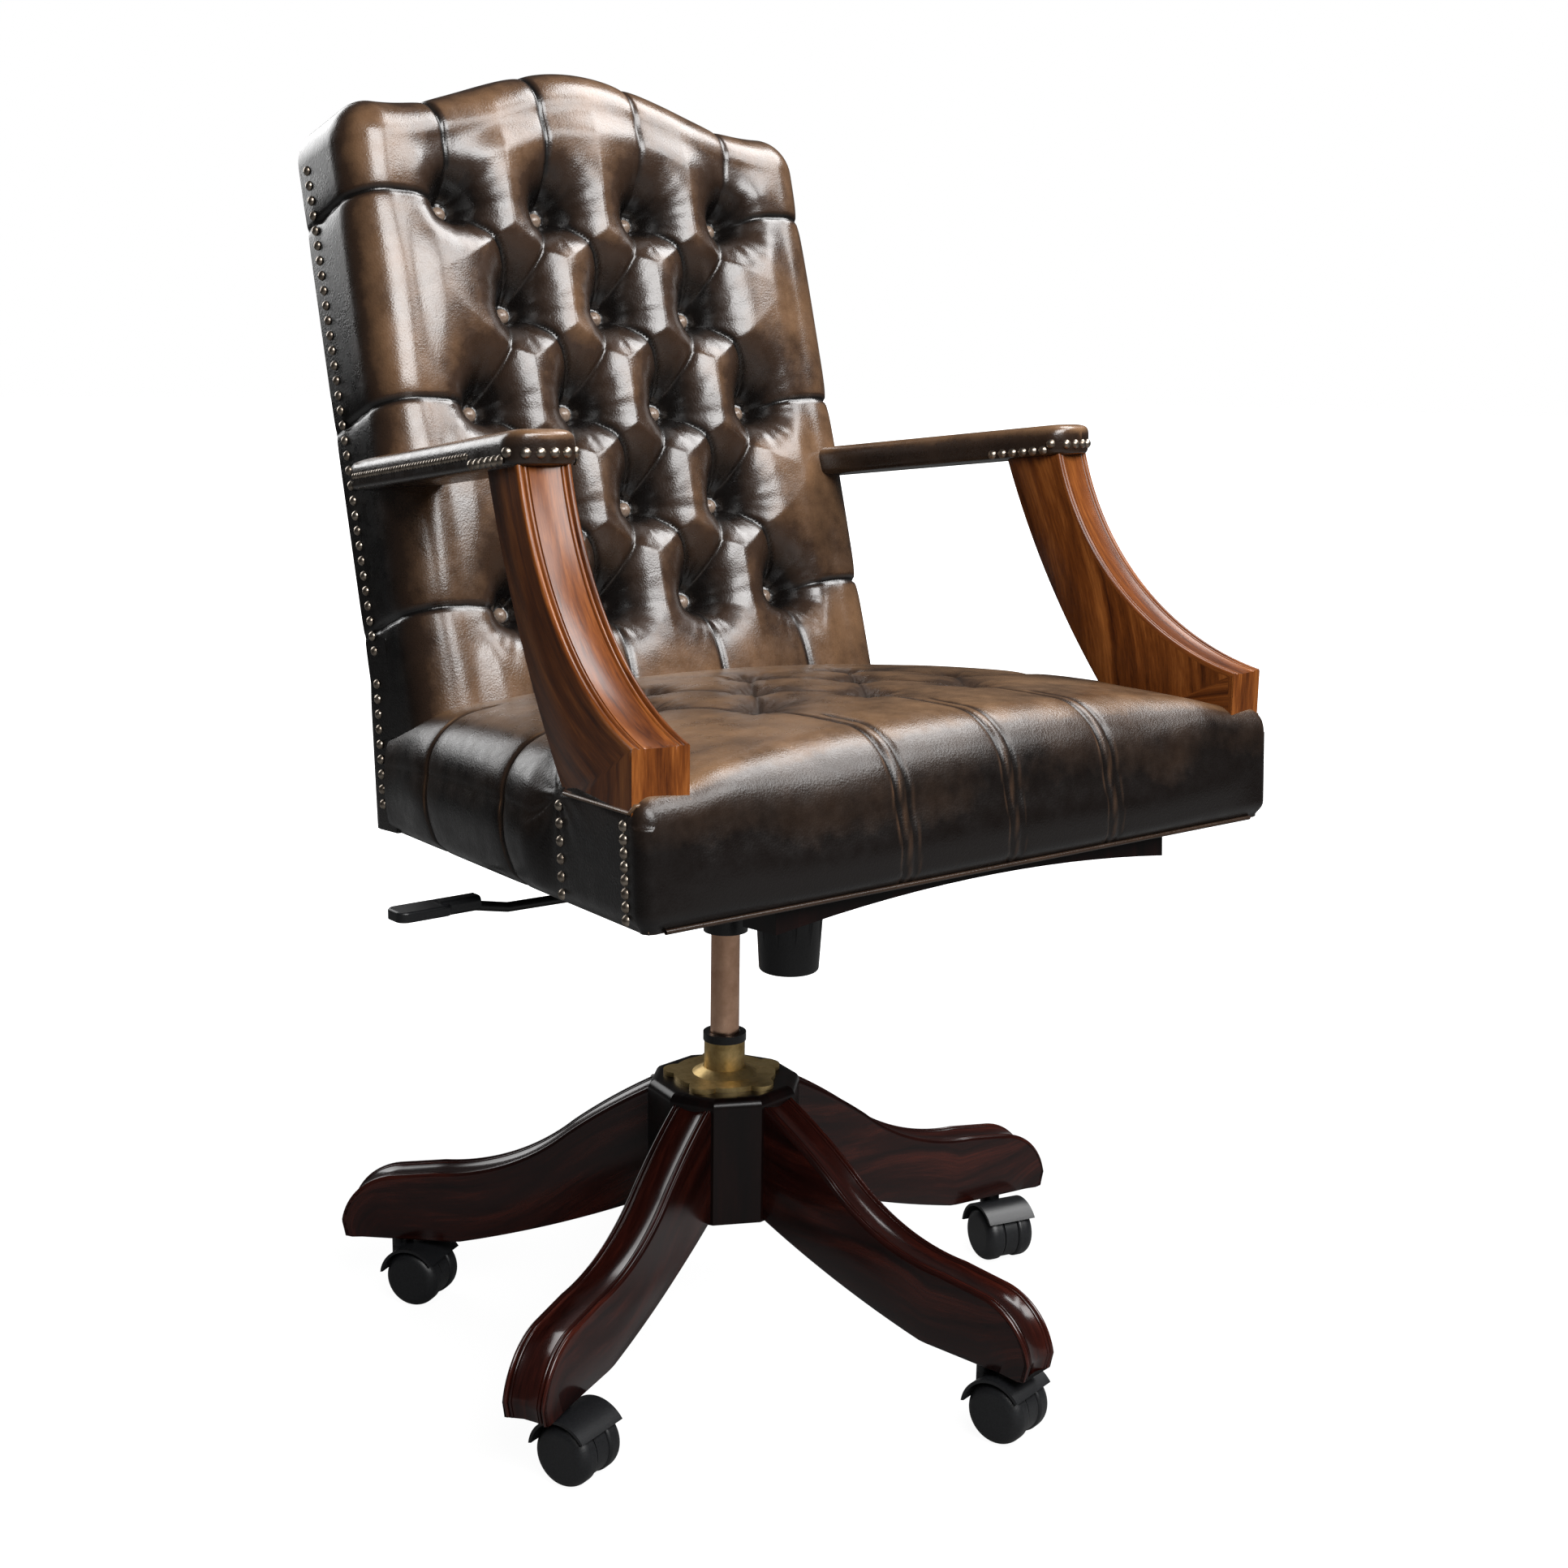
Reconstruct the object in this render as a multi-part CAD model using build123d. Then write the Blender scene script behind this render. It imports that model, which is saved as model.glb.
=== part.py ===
from build123d import *
from math import atan, cos, degrees, hypot, radians, sin, sqrt, tan
import os

# All lengths are in millimetres and all angles in degrees.
# The chair faces -Y, +X is on the right of someone looking at its front, the floor is z = 0,
# and the swivel column stands on the Z axis.

# Fits between pieces
RUNNING_FIT = 0.05
SOFT_GAP = 0.3

# Castors
WHEEL_DIAMETER = 50.0
WHEEL_WIDTH = 17.0
WHEEL_EDGE = 3.0
WHEEL_CROWN = 9.0
WHEEL_CAP = 4.0
WHEEL_SIDE_GAP = 0.6
CASTER_CHEEK = 1.0
CASTER_TRAIL = 20.0
AXLE_DIAMETER = 8.0
HOOD_GAP = 1.5
HOOD_WALL = 2.5
HOOD_REACH = 75.0
HOOD_CUT = 11.0
NECK_HEIGHT = 5.0
NECK_DIAMETER = 18.0
STEM_DIAMETER = 11.0
STEM_LENGTH = 34.0
SOCKET_WALL = 1.5
SOCKET_FLANGE_DIAMETER = 24.0
SOCKET_FLANGE = 1.5
CASTER_HEADINGS = (-72.0, -78.0, -104.0, -75.0, -60.0)

# Wooden base
LEG_COUNT = 5
FIRST_LEG_ANGLE = -153.0
TOE_RADIUS = 338.0
CASTER_INSET = 50.0
LEG_WIDTH = 36.0
REED_DEPTH = 2.0
REED_GROOVE = 3.0
HUB_APOTHEM = 63.0
HUB_RISE = 51.0
HUB_HEIGHT = 110.0
HUB_EDGE = 8.0
DOWEL_DIAMETER = 10.0
DOWEL_LENGTH = 44.0
DOWEL_SPACING = 50.0

# Column
SLEEVE_DIAMETER = 35.0
SLEEVE_WALL = 2.5
SLEEVE_STAND = 33.0
RING_HEIGHT = 7.0
RING_LIP = 1.0
BUSH_LENGTH = 50.0
TUBE_DIAMETER = 24.7
TUBE_WALL = 2.0
TUBE_GUIDED = 78.0
LIFT_TRAVEL = 80.0
LIFT_GAP = 9.5
ROD_DIAMETER = 10.0
ROD_TIP_DIAMETER = 8.0
ROD_HEAD = 3.0
PISTON_LENGTH = 12.0
TUBE_NECK = 8.0
SLEEVE_FLOOR = 4.0
BEARING_HEIGHT = 6.0
FLANGE_DIAMETER = 88.0
FLANGE_THICKNESS = 4.0
FLANGE_COLLAR = 5.0
FLANGE_EAR_DIAMETER = 24.0
FLANGE_EAR_RADIUS = 41.0
FLANGE_SCREW_DIAMETER = 5.0
FLANGE_SCREW_HEAD = 10.0
FLANGE_SCREW_LENGTH = 26.0

# Tilt mechanism
SOCKET_NECK = 36.5
SOCKET_DIAMETER = 38.0
HOUSING_WIDTH = 64.0
HOUSING_WALL = 3.0
HOUSING_FLOOR = 4.0
HOUSING_FRONT = 106.0
HOUSING_REAR = 36.0
FRONT_FLOOR_RISE = 11.0
TILT_AXIS_FORWARD = 34.0
TILT_AXIS_RISE = 22.0
SHAFT_DIAMETER = 12.0
EAR_THICKNESS = 5.0
EAR_GAP = 0.5
EAR_RADIUS = 12.0
TILT_RANGE = 12.0
PLATE_WIDTH = 210.0
PLATE_LENGTH = 200.0
PLATE_THICKNESS = 4.0
PLATE_CLEARANCE = 14.0
KNOB_FORWARD = 85.0
KNOB_DIAMETER = 55.0
KNOB_TAPER = 6.0
KNOB_HEIGHT = 49.0
KNOB_WALL = 6.0
KNOB_CLEARANCE = 2.0
KNOB_FLUTES = 12
FLUTE_DIAMETER = 5.0
TENSION_BOLT_DIAMETER = 8.0
BOLT_PIN_DIAMETER = 6.0
LUG_THICKNESS = 4.0
LUG_GAP = 0.5
CUP_GAP = 1.5
CUP_WALL = 2.0
CUP_DEPTH = 34.0
SPRING_GAP = 1.5
SPRING_WIRE = 5.0
BUTTON_DIAMETER = 8.0
BUTTON_TRAVEL = 3.0
BUTTON_LENGTH = 12.0
LEVER_ROD_DIAMETER = 8.0
LEVER_PIVOT_OUT = 38.0
LEVER_BEND_OUT = 215.0
LEVER_BEND_RISE = 3.0
LEVER_GRIP_OUT = 243.0
LEVER_GRIP_RISE = 12.0
GRIP_LENGTH = 34.0
GRIP_WIDTH = 16.0
GRIP_HEIGHT = 12.0
PADDLE_LENGTH = 46.0
PADDLE_WIDTH = 26.0
PADDLE_THICKNESS = 8.0
TRUNNION_DIAMETER = 6.0
PLATE_BOLT_DIAMETER = 8.0
PLATE_BOLT_HEAD = 14.0
PLATE_BOLT_HEAD_HEIGHT = 5.0
PLATE_BOLT_COVER = 3.0
PLATE_BOLT_SPACING = 150.0

# Seat
SEAT_PITCH = 3.25
SEAT_RISE = 42.5
SEAT_FRONT = 289.0
SEAT_REAR = 161.5
SEAT_FRONT_WIDTH = 624.0
SIDE_SPLAY = 0.154
FRAME_HEIGHT = 77.0
FRAME_RAIL = 42.0
WRAP = 8.0
DUST_COVER = 1.5
WEBBING = 4.0
CROWN_HEIGHT = 48.0
CROWN_RADIUS = 2000.0
CROWN_CENTRE = -60.0
SEAT_ROLL = 30.0
BATTEN_WIDTH = 36.0
BATTEN_LENGTH = 330.0
FRONT_BATTEN_LENGTH = 390.0
FRONT_BATTEN_SETBACK = 14.0
FRONT_BATTEN_ARCH = 12.0
SEAT_TUFT_PITCH = 105.0
SEAT_TUFT_ROW = 74.0
SEAT_TUFT_FRONT = -150.0
SEAT_TUFT_DEPTH = 14.0
SEAT_TUFT_RADIUS = 24.0
SEAT_TUFT_TIP = 4.0
PLEAT_WIDTH = 3.0
PLEAT_DEPTH = 5.0

# Back
RECLINE = 15.4
BACK_KINK = 176.0
BACK_BOARD = 26.0
OUTSIDE_BACK = 12.0
WRAP_BEHIND = 4.0
BACK_INSET = 2.6
BACK_TAPER = 14.0
BACK_CORNER_HEIGHT = 453.0
BACK_HUMP_HEIGHT = 494.0
HUMP_SHARE = 0.45
SHOULDER_SHARE = 0.837
BACK_CORNER = 34.0
BACK_SKIRT = 34.0
BACK_DEPTH = 92.0
BACK_ROLL = 30.0
BUTTON_ROWS = 5
BUTTON_SHARE = 0.195
BUTTON_ROW_PITCH = 84.3
BUTTON_TOP_ROW = 366.0
BUTTON_SEAT = 48.0
BACK_BUTTON_DIAMETER = 13.0
BACK_BUTTON_HEIGHT = 5.0
WELL_RADIUS = 33.0
WELL_THROAT = 8.0
FOLD_WIDTH = 26.0
FOLD_DEPTH = 20.0
EDGE_PLEAT_WIDTH = 12.0
EDGE_PLEAT_DEPTH = 9.0

# Arms
ARM_FRONT = -303.0
ARM_THICKNESS = 41.0
FOOT_TOP = 586.0
FOOT_LENGTH = 101.0
POST_TOP = 750.0
POST_TOP_FRONT = 176.0
POST_TOP_DEPTH = 54.0
POST_FRONT_SAG = 34.0
POST_REAR_SAG = 11.0
PAD_OVERHANG = 7.0
PAD_NOSE = 6.0
PAD_FRONT_THICKNESS = 27.0
PAD_REAR_TOP = 742.0
PAD_REAR_BOTTOM = 715.0
PAD_REACH = 490.0
PAD_EDGE = 9.0
RAIL_WIDTH = 30.0
RAIL_THICKNESS = 12.0

# Upholstery nails
NAIL_DIAMETER = 8.0
NAIL_HEIGHT = 3.0
NAIL_PITCH = 12.4
NAIL_MARGIN = 6.0
SEAT_NAIL_ROWS = (8, 6)

# Values worked out from the driving dimensions
FLOOR_TO_CENTRE = (Align.CENTER, Align.CENTER, Align.MIN)
AXLE_HEIGHT = WHEEL_DIAMETER / 2
CASTER_WEB = STEM_DIAMETER + 2 * CASTER_CHEEK
HOOD_RADIUS = WHEEL_DIAMETER / 2 + HOOD_GAP + HOOD_WALL
LEG_UNDERSIDE = AXLE_HEIGHT + HOOD_RADIUS + NECK_HEIGHT
CASTER_RADIUS = TOE_RADIUS - CASTER_INSET
HUB_BOTTOM = LEG_UNDERSIDE + HUB_RISE
HUB_TOP = HUB_BOTTOM + HUB_HEIGHT
SLEEVE_TOP = HUB_TOP + SLEEVE_STAND
RING_TOP = SLEEVE_TOP + RING_HEIGHT
SLEEVE_BORE = SLEEVE_DIAMETER - 2 * SLEEVE_WALL
TUBE_BOTTOM = RING_TOP - TUBE_GUIDED
TUBE_BORE = TUBE_DIAMETER - 2 * TUBE_WALL
BEARING_TOP = TUBE_BOTTOM - LIFT_TRAVEL - SOFT_GAP
SLEEVE_INNER_FLOOR = BEARING_TOP - BEARING_HEIGHT
SLEEVE_BOTTOM = SLEEVE_INNER_FLOOR - SLEEVE_FLOOR
SOCKET_BOTTOM = RING_TOP + LIFT_TRAVEL + LIFT_GAP
FLOOR_BOTTOM = SOCKET_BOTTOM + SOCKET_NECK
FLOOR_TOP = FLOOR_BOTTOM + HOUSING_FLOOR
FRONT_FLOOR_BOTTOM = FLOOR_BOTTOM + FRONT_FLOOR_RISE
FRONT_FLOOR_TOP = FRONT_FLOOR_BOTTOM + HOUSING_FLOOR
TILT_Y = -TILT_AXIS_FORWARD
TILT_Z = FLOOR_BOTTOM + TILT_AXIS_RISE
TUBE_TOP = FLOOR_TOP + BUTTON_TRAVEL
BUTTON_TOP = TUBE_TOP + BUTTON_TRAVEL + SOFT_GAP
LEVER_Z = BUTTON_TOP + SOFT_GAP + LEVER_ROD_DIAMETER / 2
CUP_DIAMETER = KNOB_DIAMETER - KNOB_TAPER - FLUTE_DIAMETER - 2 * CUP_GAP
SPRING_DIAMETER = CUP_DIAMETER - 2 * CUP_WALL - 2 * SPRING_GAP
KNOB_RISE = (KNOB_FORWARD - TILT_AXIS_FORWARD) * sin(radians(TILT_RANGE))
KNOB_BOTTOM = FRONT_FLOOR_BOTTOM - KNOB_RISE - KNOB_CLEARANCE - KNOB_HEIGHT
PLATE_BOTTOM = SHAFT_DIAMETER / 2 + PLATE_CLEARANCE - 2 * RUNNING_FIT
PLATE_TOP = PLATE_BOTTOM + PLATE_THICKNESS
PLATE_BOLT_LENGTH = SEAT_RISE - PLATE_BOTTOM - PLATE_BOLT_COVER
FRAME_TOP = SEAT_RISE + FRAME_HEIGHT
SEAT_CROWN = FRAME_TOP + CROWN_HEIGHT
BACK_REAR = SEAT_REAR + BACK_BOARD + WRAP_BEHIND
SEAT_REAR_WIDTH = SEAT_FRONT_WIDTH - 2 * SIDE_SPLAY * (SEAT_FRONT + SEAT_REAR)
BACK_BOTTOM_WIDTH = SEAT_REAR_WIDTH - 2 * BACK_INSET
BACK_TOP_WIDTH = BACK_BOTTOM_WIDTH - BACK_TAPER
BACK_HUMP_WIDTH = HUMP_SHARE * BACK_TOP_WIDTH
BACK_SHOULDER_WIDTH = SHOULDER_SHARE * BACK_TOP_WIDTH
BUTTON_PITCH = BUTTON_SHARE * BACK_BOTTOM_WIDTH
SEAT = Pos(0, TILT_Y, TILT_Z) * Rot(-SEAT_PITCH, 0, 0)
BACK = SEAT * Pos(0, BACK_REAR, BACK_KINK) * Rot(SEAT_PITCH - RECLINE, 0, 0)


def leg_angle(index):
    return FIRST_LEG_ANGLE + 360 / LEG_COUNT * index


def post(diameter, low, high):
    """A round bar on the Z axis from one height to another."""
    return Pos(0, 0, low) * Cylinder(diameter / 2, high - low, align=FLOOR_TO_CENTRE)


def tube(outer, inner, low, high):
    return post(outer, low, high) - post(inner, low - 1, high + 1)


def cross_bar(diameter, half_length):
    """A round bar along X, centred on the origin."""
    return Rot(0, 90, 0) * Cylinder(diameter / 2, 2 * half_length)


def block(x, y, z):
    """A box between the two values given for each axis."""
    size = Box(x[1] - x[0], y[1] - y[0], z[1] - z[0])
    return Pos((x[0] + x[1]) / 2, (y[0] + y[1]) / 2, (z[0] + z[1]) / 2) * size


def dome(diameter, height):
    """A round-headed cap standing on the XY plane."""
    radius = diameter / 2
    ball = (radius**2 + height**2) / (2 * height)
    cap = Pos(0, 0, height - ball) * Sphere(ball)
    return cap & Cylinder(diameter, height, align=FLOOR_TO_CENTRE)


def save(name, shape):
    export_step(shape, f"parts/{name}.step")


def save_group(name, shapes):
    save(name, Compound(children=list(shapes)))


# Wooden base

def leg_outline(inset):
    """Side view of a leg in the XZ plane, with its upper edge lowered by an inset."""
    span = TOE_RADIUS - HUB_APOTHEM
    root = HUB_TOP - HUB_EDGE - LEG_UNDERSIDE

    def at(along, up):
        return (HUB_APOTHEM + span * along, LEG_UNDERSIDE + root * up - inset)

    toe = TOE_RADIUS - inset
    shoulder = at(0.265, 0.702)
    instep = at(0.685, 0.418)
    knuckle = at(0.82, 0.39)
    toe_top = (toe, LEG_UNDERSIDE + 0.1 * root)
    toe_foot = (toe - 4, LEG_UNDERSIDE)
    arch_start = (HUB_APOTHEM + span * 0.62, LEG_UNDERSIDE)
    arch_middle = (HUB_APOTHEM + span * 0.28, LEG_UNDERSIDE + HUB_RISE * 0.475)
    root_foot = (HUB_APOTHEM, HUB_BOTTOM + 1)
    edges = [
        ThreePointArc(at(0, 1), at(0.142, 0.855), shoulder),
        ThreePointArc(shoulder, at(0.44, 0.508), instep),
        Line(instep, knuckle),
        ThreePointArc(knuckle, (toe - 13, LEG_UNDERSIDE + 0.275 * root), toe_top),
        Line(toe_top, toe_foot),
        Line(toe_foot, arch_start),
        ThreePointArc(arch_start, arch_middle, root_foot),
        Line(root_foot, at(0, 1)),
    ]
    return Plane.XZ * make_face(edges)


def dowels():
    """Two dowels across the joint of a leg that points along +X."""
    middle = (HUB_TOP - HUB_EDGE + HUB_BOTTOM) / 2
    bar = Pos(HUB_APOTHEM, 0, middle) * cross_bar(DOWEL_DIAMETER, DOWEL_LENGTH / 2)
    return [Pos(0, 0, side * DOWEL_SPACING / 2) * bar for side in (-1, 1)]


def caster_socket():
    """A metal lining for a castor's stem, with a flange under the leg."""
    outer = STEM_DIAMETER + 2 * RUNNING_FIT + 2 * SOCKET_WALL
    inner = STEM_DIAMETER + 2 * RUNNING_FIT
    low = LEG_UNDERSIDE - SOCKET_FLANGE
    lining = tube(outer, inner, low, LEG_UNDERSIDE + STEM_LENGTH)
    flange = tube(SOCKET_FLANGE_DIAMETER, inner, low, LEG_UNDERSIDE)
    return Pos(CASTER_RADIUS, 0, 0) * (lining + flange)


def leg():
    """A leg along +X, its upper side worked into three reeds."""
    body = extrude(leg_outline(REED_DEPTH), LEG_WIDTH / 2, both=True)
    reed = (LEG_WIDTH - 2 * REED_GROOVE) / 4
    body += extrude(leg_outline(0), reed, both=True)
    edge_reed = extrude(leg_outline(0), reed / 2, both=True)
    for side in (-1, 1):
        body += Pos(0, side * (LEG_WIDTH - reed) / 2, 0) * edge_reed
    outer = STEM_DIAMETER + 2 * RUNNING_FIT + 2 * SOCKET_WALL
    body -= Pos(CASTER_RADIUS, 0, 0) * post(outer, LEG_UNDERSIDE - 1, LEG_UNDERSIDE + STEM_LENGTH)
    for dowel in dowels():
        body -= dowel
    return body


def flange_screw_places():
    for index in range(LEG_COUNT):
        yield Rot(0, 0, leg_angle(index)) * Pos(FLANGE_EAR_RADIUS, 0, HUB_TOP)


def flange_screw():
    """A countersunk wood screw whose head is flush with the flange plate."""
    sink = (FLANGE_SCREW_HEAD - FLANGE_SCREW_DIAMETER) / 2
    shank = post(FLANGE_SCREW_DIAMETER, -FLANGE_SCREW_LENGTH, FLANGE_THICKNESS)
    head = Cone(FLANGE_SCREW_DIAMETER / 2, FLANGE_SCREW_HEAD / 2, sink, align=FLOOR_TO_CENTRE)
    return shank + Pos(0, 0, FLANGE_THICKNESS - sink) * head


def base_hub():
    """A ten-sided wooden hub with a flat for each leg."""
    turn = FIRST_LEG_ANGLE + 180 / (2 * LEG_COUNT)
    outline = RegularPolygon(HUB_APOTHEM, 2 * LEG_COUNT, major_radius=False, rotation=turn)
    hub = Pos(0, 0, HUB_BOTTOM) * extrude(outline, HUB_HEIGHT)
    hub = fillet(hub.faces().sort_by(Axis.Z)[-1].edges(), HUB_EDGE)
    hub -= post(SLEEVE_DIAMETER, HUB_BOTTOM - 1, HUB_TOP + 1)
    for index in range(LEG_COUNT):
        for dowel in dowels():
            hub -= Rot(0, 0, leg_angle(index)) * dowel
    for place in flange_screw_places():
        hub -= place * flange_screw()
    return hub


def flange_plate():
    """A lobed brass plate with a collar round the column sleeve."""
    plate = post(FLANGE_DIAMETER, HUB_TOP, HUB_TOP + FLANGE_THICKNESS)
    for place in flange_screw_places():
        plate += place * post(FLANGE_EAR_DIAMETER, 0, FLANGE_THICKNESS)
    neck = SLEEVE_DIAMETER / 2
    collar = Cone(neck + 2 * FLANGE_COLLAR, neck + 1, FLANGE_COLLAR, align=FLOOR_TO_CENTRE)
    plate += Pos(0, 0, HUB_TOP + FLANGE_THICKNESS) * collar
    plate -= post(SLEEVE_DIAMETER, HUB_TOP - 1, SLEEVE_TOP)
    for place in flange_screw_places():
        plate -= place * flange_screw()
    return plate


# Column

def column_sleeve():
    """The outer column, closed at its foot round the piston rod's tip."""
    sleeve = tube(SLEEVE_DIAMETER, SLEEVE_BORE, SLEEVE_BOTTOM, SLEEVE_TOP)
    hole = ROD_TIP_DIAMETER + 2 * RUNNING_FIT
    return sleeve + tube(SLEEVE_BORE + SLEEVE_WALL, hole, SLEEVE_BOTTOM, SLEEVE_INNER_FLOOR)


def guide_bush():
    """A black plastic bush that guides the tube, with a ring on top of the sleeve."""
    bore = TUBE_DIAMETER + 2 * RUNNING_FIT
    ring = tube(SLEEVE_DIAMETER + 2 * RING_LIP, bore, SLEEVE_TOP, RING_TOP)
    ring = chamfer(ring.edges().filter_by(GeomType.CIRCLE).sort_by(Axis.Z)[-1], RING_LIP)
    return ring + tube(SLEEVE_BORE, bore, SLEEVE_TOP - BUSH_LENGTH, SLEEVE_TOP)


def thrust_bearing():
    hole = ROD_TIP_DIAMETER + 2 * RUNNING_FIT
    return tube(SLEEVE_BORE, hole, SLEEVE_INNER_FLOOR, BEARING_TOP)


def piston_rod():
    """The rod stands on the thrust bearing, with its tip riveted under the sleeve."""
    piston_low = TUBE_BOTTOM + TUBE_NECK + SOFT_GAP
    rod = post(ROD_TIP_DIAMETER, SLEEVE_BOTTOM - ROD_HEAD, BEARING_TOP + RUNNING_FIT)
    rod += post(ROD_DIAMETER, BEARING_TOP + RUNNING_FIT, piston_low)
    rod += post(TUBE_BORE - 2 * RUNNING_FIT, piston_low, piston_low + PISTON_LENGTH)
    head_top = SLEEVE_BOTTOM - RUNNING_FIT
    return rod + post(ROD_DIAMETER + 2 * ROD_HEAD, head_top - ROD_HEAD, head_top)


def pressure_tube():
    """The sliding tube, with a neck round the rod and a closed top that holds the button."""
    body = post(TUBE_DIAMETER, TUBE_BOTTOM, TUBE_TOP)
    cap = BUTTON_LENGTH + BUTTON_TRAVEL + TUBE_WALL
    body -= post(TUBE_BORE, TUBE_BOTTOM + TUBE_NECK, TUBE_TOP - cap)
    body -= post(ROD_DIAMETER + 2 * RUNNING_FIT, TUBE_BOTTOM - 1, TUBE_BOTTOM + TUBE_NECK + 1)
    button_floor = BUTTON_TOP - BUTTON_LENGTH - BUTTON_TRAVEL - SOFT_GAP
    return body - post(BUTTON_DIAMETER + 2 * RUNNING_FIT, button_floor, TUBE_TOP + 1)


def release_button():
    return post(BUTTON_DIAMETER, BUTTON_TOP - BUTTON_LENGTH, BUTTON_TOP)


# Castors, drawn with the stem on the Z axis and the wheels trailing towards +Y

def caster_axle_bar(diameter, half_length):
    return Pos(0, CASTER_TRAIL, AXLE_HEIGHT) * cross_bar(diameter, half_length)


def caster_half_width():
    return CASTER_WEB / 2 + WHEEL_SIDE_GAP + WHEEL_WIDTH


def caster_hood():
    """A web between the wheels, a hood over them and a neck for the stem."""
    half = caster_half_width()
    shell = caster_axle_bar(2 * HOOD_RADIUS, half)
    shell -= caster_axle_bar(2 * (HOOD_RADIUS - HOOD_WALL), half + 1)
    reach = 2 * HOOD_RADIUS
    cut = Pos(0, 0, HOOD_CUT - reach) * Box(reach * 2, reach * 2, reach * 2)
    shell += caster_axle_bar(2 * HOOD_RADIUS - HOOD_WALL, CASTER_WEB / 2)
    shell -= Pos(0, CASTER_TRAIL, AXLE_HEIGHT) * Rot(90 - HOOD_REACH, 0, 0) * cut
    web = caster_axle_bar(WHEEL_DIAMETER - WHEEL_EDGE, CASTER_WEB / 2)
    web -= Pos(0, CASTER_TRAIL, 0) * block((-reach, reach), (-reach, reach), (-reach, WHEEL_EDGE))
    top = LEG_UNDERSIDE - SOCKET_FLANGE - SOFT_GAP
    neck = post(NECK_DIAMETER, AXLE_HEIGHT, top)
    neck &= block((-CASTER_WEB / 2, CASTER_WEB / 2), (-reach, reach), (0, top))
    collar = post(NECK_DIAMETER, AXLE_HEIGHT + HOOD_RADIUS * 0.8, top)
    hood = shell + web + neck + collar
    hood -= post(STEM_DIAMETER, AXLE_HEIGHT + HOOD_WALL, top + 1)
    return hood - caster_axle_bar(AXLE_DIAMETER, half)


def caster_pins():
    """The stem and the axle."""
    stem = post(STEM_DIAMETER, AXLE_HEIGHT + HOOD_WALL, LEG_UNDERSIDE + STEM_LENGTH - SOFT_GAP)
    return [stem, caster_axle_bar(AXLE_DIAMETER, caster_half_width() - WHEEL_CAP - SOFT_GAP)]


def caster_wheel(side):
    """A wheel with a well rounded, closed outer face and a blind bore for the axle."""
    wheel = cross_bar(WHEEL_DIAMETER, WHEEL_WIDTH / 2)
    outermost = -1 if side > 0 else 0
    rim = wheel.edges().filter_by(GeomType.CIRCLE).sort_by(Axis.X)[outermost]
    wheel = fillet(rim, WHEEL_CROWN)
    innermost = 0 if side > 0 else -1
    rim = wheel.edges().filter_by(GeomType.CIRCLE).sort_by(Axis.X)[innermost]
    wheel = fillet(rim, WHEEL_EDGE)
    wheel -= Pos(-side * WHEEL_CAP, 0, 0) * cross_bar(AXLE_DIAMETER + 2 * RUNNING_FIT, WHEEL_WIDTH / 2)
    middle = side * (CASTER_WEB / 2 + WHEEL_SIDE_GAP + WHEEL_WIDTH / 2)
    return Pos(middle, CASTER_TRAIL, AXLE_HEIGHT) * wheel


def caster_place(index):
    """Where a castor stands, turned so that its wheels trail along its heading."""
    angle = radians(leg_angle(index))
    spot = Pos(CASTER_RADIUS * cos(angle), CASTER_RADIUS * sin(angle), 0)
    return spot * Rot(0, 0, CASTER_HEADINGS[index] - 90)


# Tilt mechanism

def mech_housing():
    """A pressed channel with a socket for the tube and a cup for the tension spring."""
    half = HOUSING_WIDTH / 2
    step = TILT_Y - SHAFT_DIAMETER
    wall_top = TILT_Z + SHAFT_DIAMETER
    sag = (HOUSING_REAR - TILT_Y) * tan(radians(TILT_RANGE + SEAT_PITCH)) + HOUSING_WALL
    rear_top = TILT_Z + PLATE_BOTTOM - sag
    side = [
        (-HOUSING_FRONT, FRONT_FLOOR_BOTTOM),
        (step, FRONT_FLOOR_BOTTOM),
        (step, FLOOR_BOTTOM),
        (HOUSING_REAR, FLOOR_BOTTOM),
        (HOUSING_REAR, rear_top),
        (TILT_Y + SHAFT_DIAMETER, wall_top),
        (-HOUSING_FRONT, wall_top),
    ]
    outline = Plane.YZ * make_face(Polyline(*side, close=True))
    body = extrude(outline, half, both=True)
    inner = (-half + HOUSING_WALL, half - HOUSING_WALL)
    front = -HOUSING_FRONT + HOUSING_WALL
    body -= block(inner, (front, step + HOUSING_WALL), (FRONT_FLOOR_TOP, wall_top + 1))
    body -= block(inner, (step + HOUSING_WALL, HOUSING_REAR - HOUSING_WALL), (FLOOR_TOP, wall_top + 1))
    body += post(SOCKET_DIAMETER, SOCKET_BOTTOM, FLOOR_TOP)
    cup = tube(CUP_DIAMETER, CUP_DIAMETER - 2 * CUP_WALL, FRONT_FLOOR_BOTTOM - CUP_DEPTH, FRONT_FLOOR_BOTTOM)
    body += Pos(0, -KNOB_FORWARD, 0) * cup
    body += lever_bracket()
    body -= post(TUBE_DIAMETER, SOCKET_BOTTOM - 1, FLOOR_TOP + 1)
    body -= Pos(0, TILT_Y, TILT_Z) * cross_bar(SHAFT_DIAMETER + 2 * RUNNING_FIT, half + 1)
    slot = TENSION_BOLT_DIAMETER + HOUSING_FLOOR
    slit = block((-slot / 2, slot / 2), (-slot, slot), (FRONT_FLOOR_BOTTOM - 1, FRONT_FLOOR_TOP + 1))
    body -= Pos(0, -KNOB_FORWARD, 0) * slit
    room = LEVER_ROD_DIAMETER
    return body - block((-half - 1, inner[0] + 1), (-room, room), (FLOOR_TOP, wall_top + 1))


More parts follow.
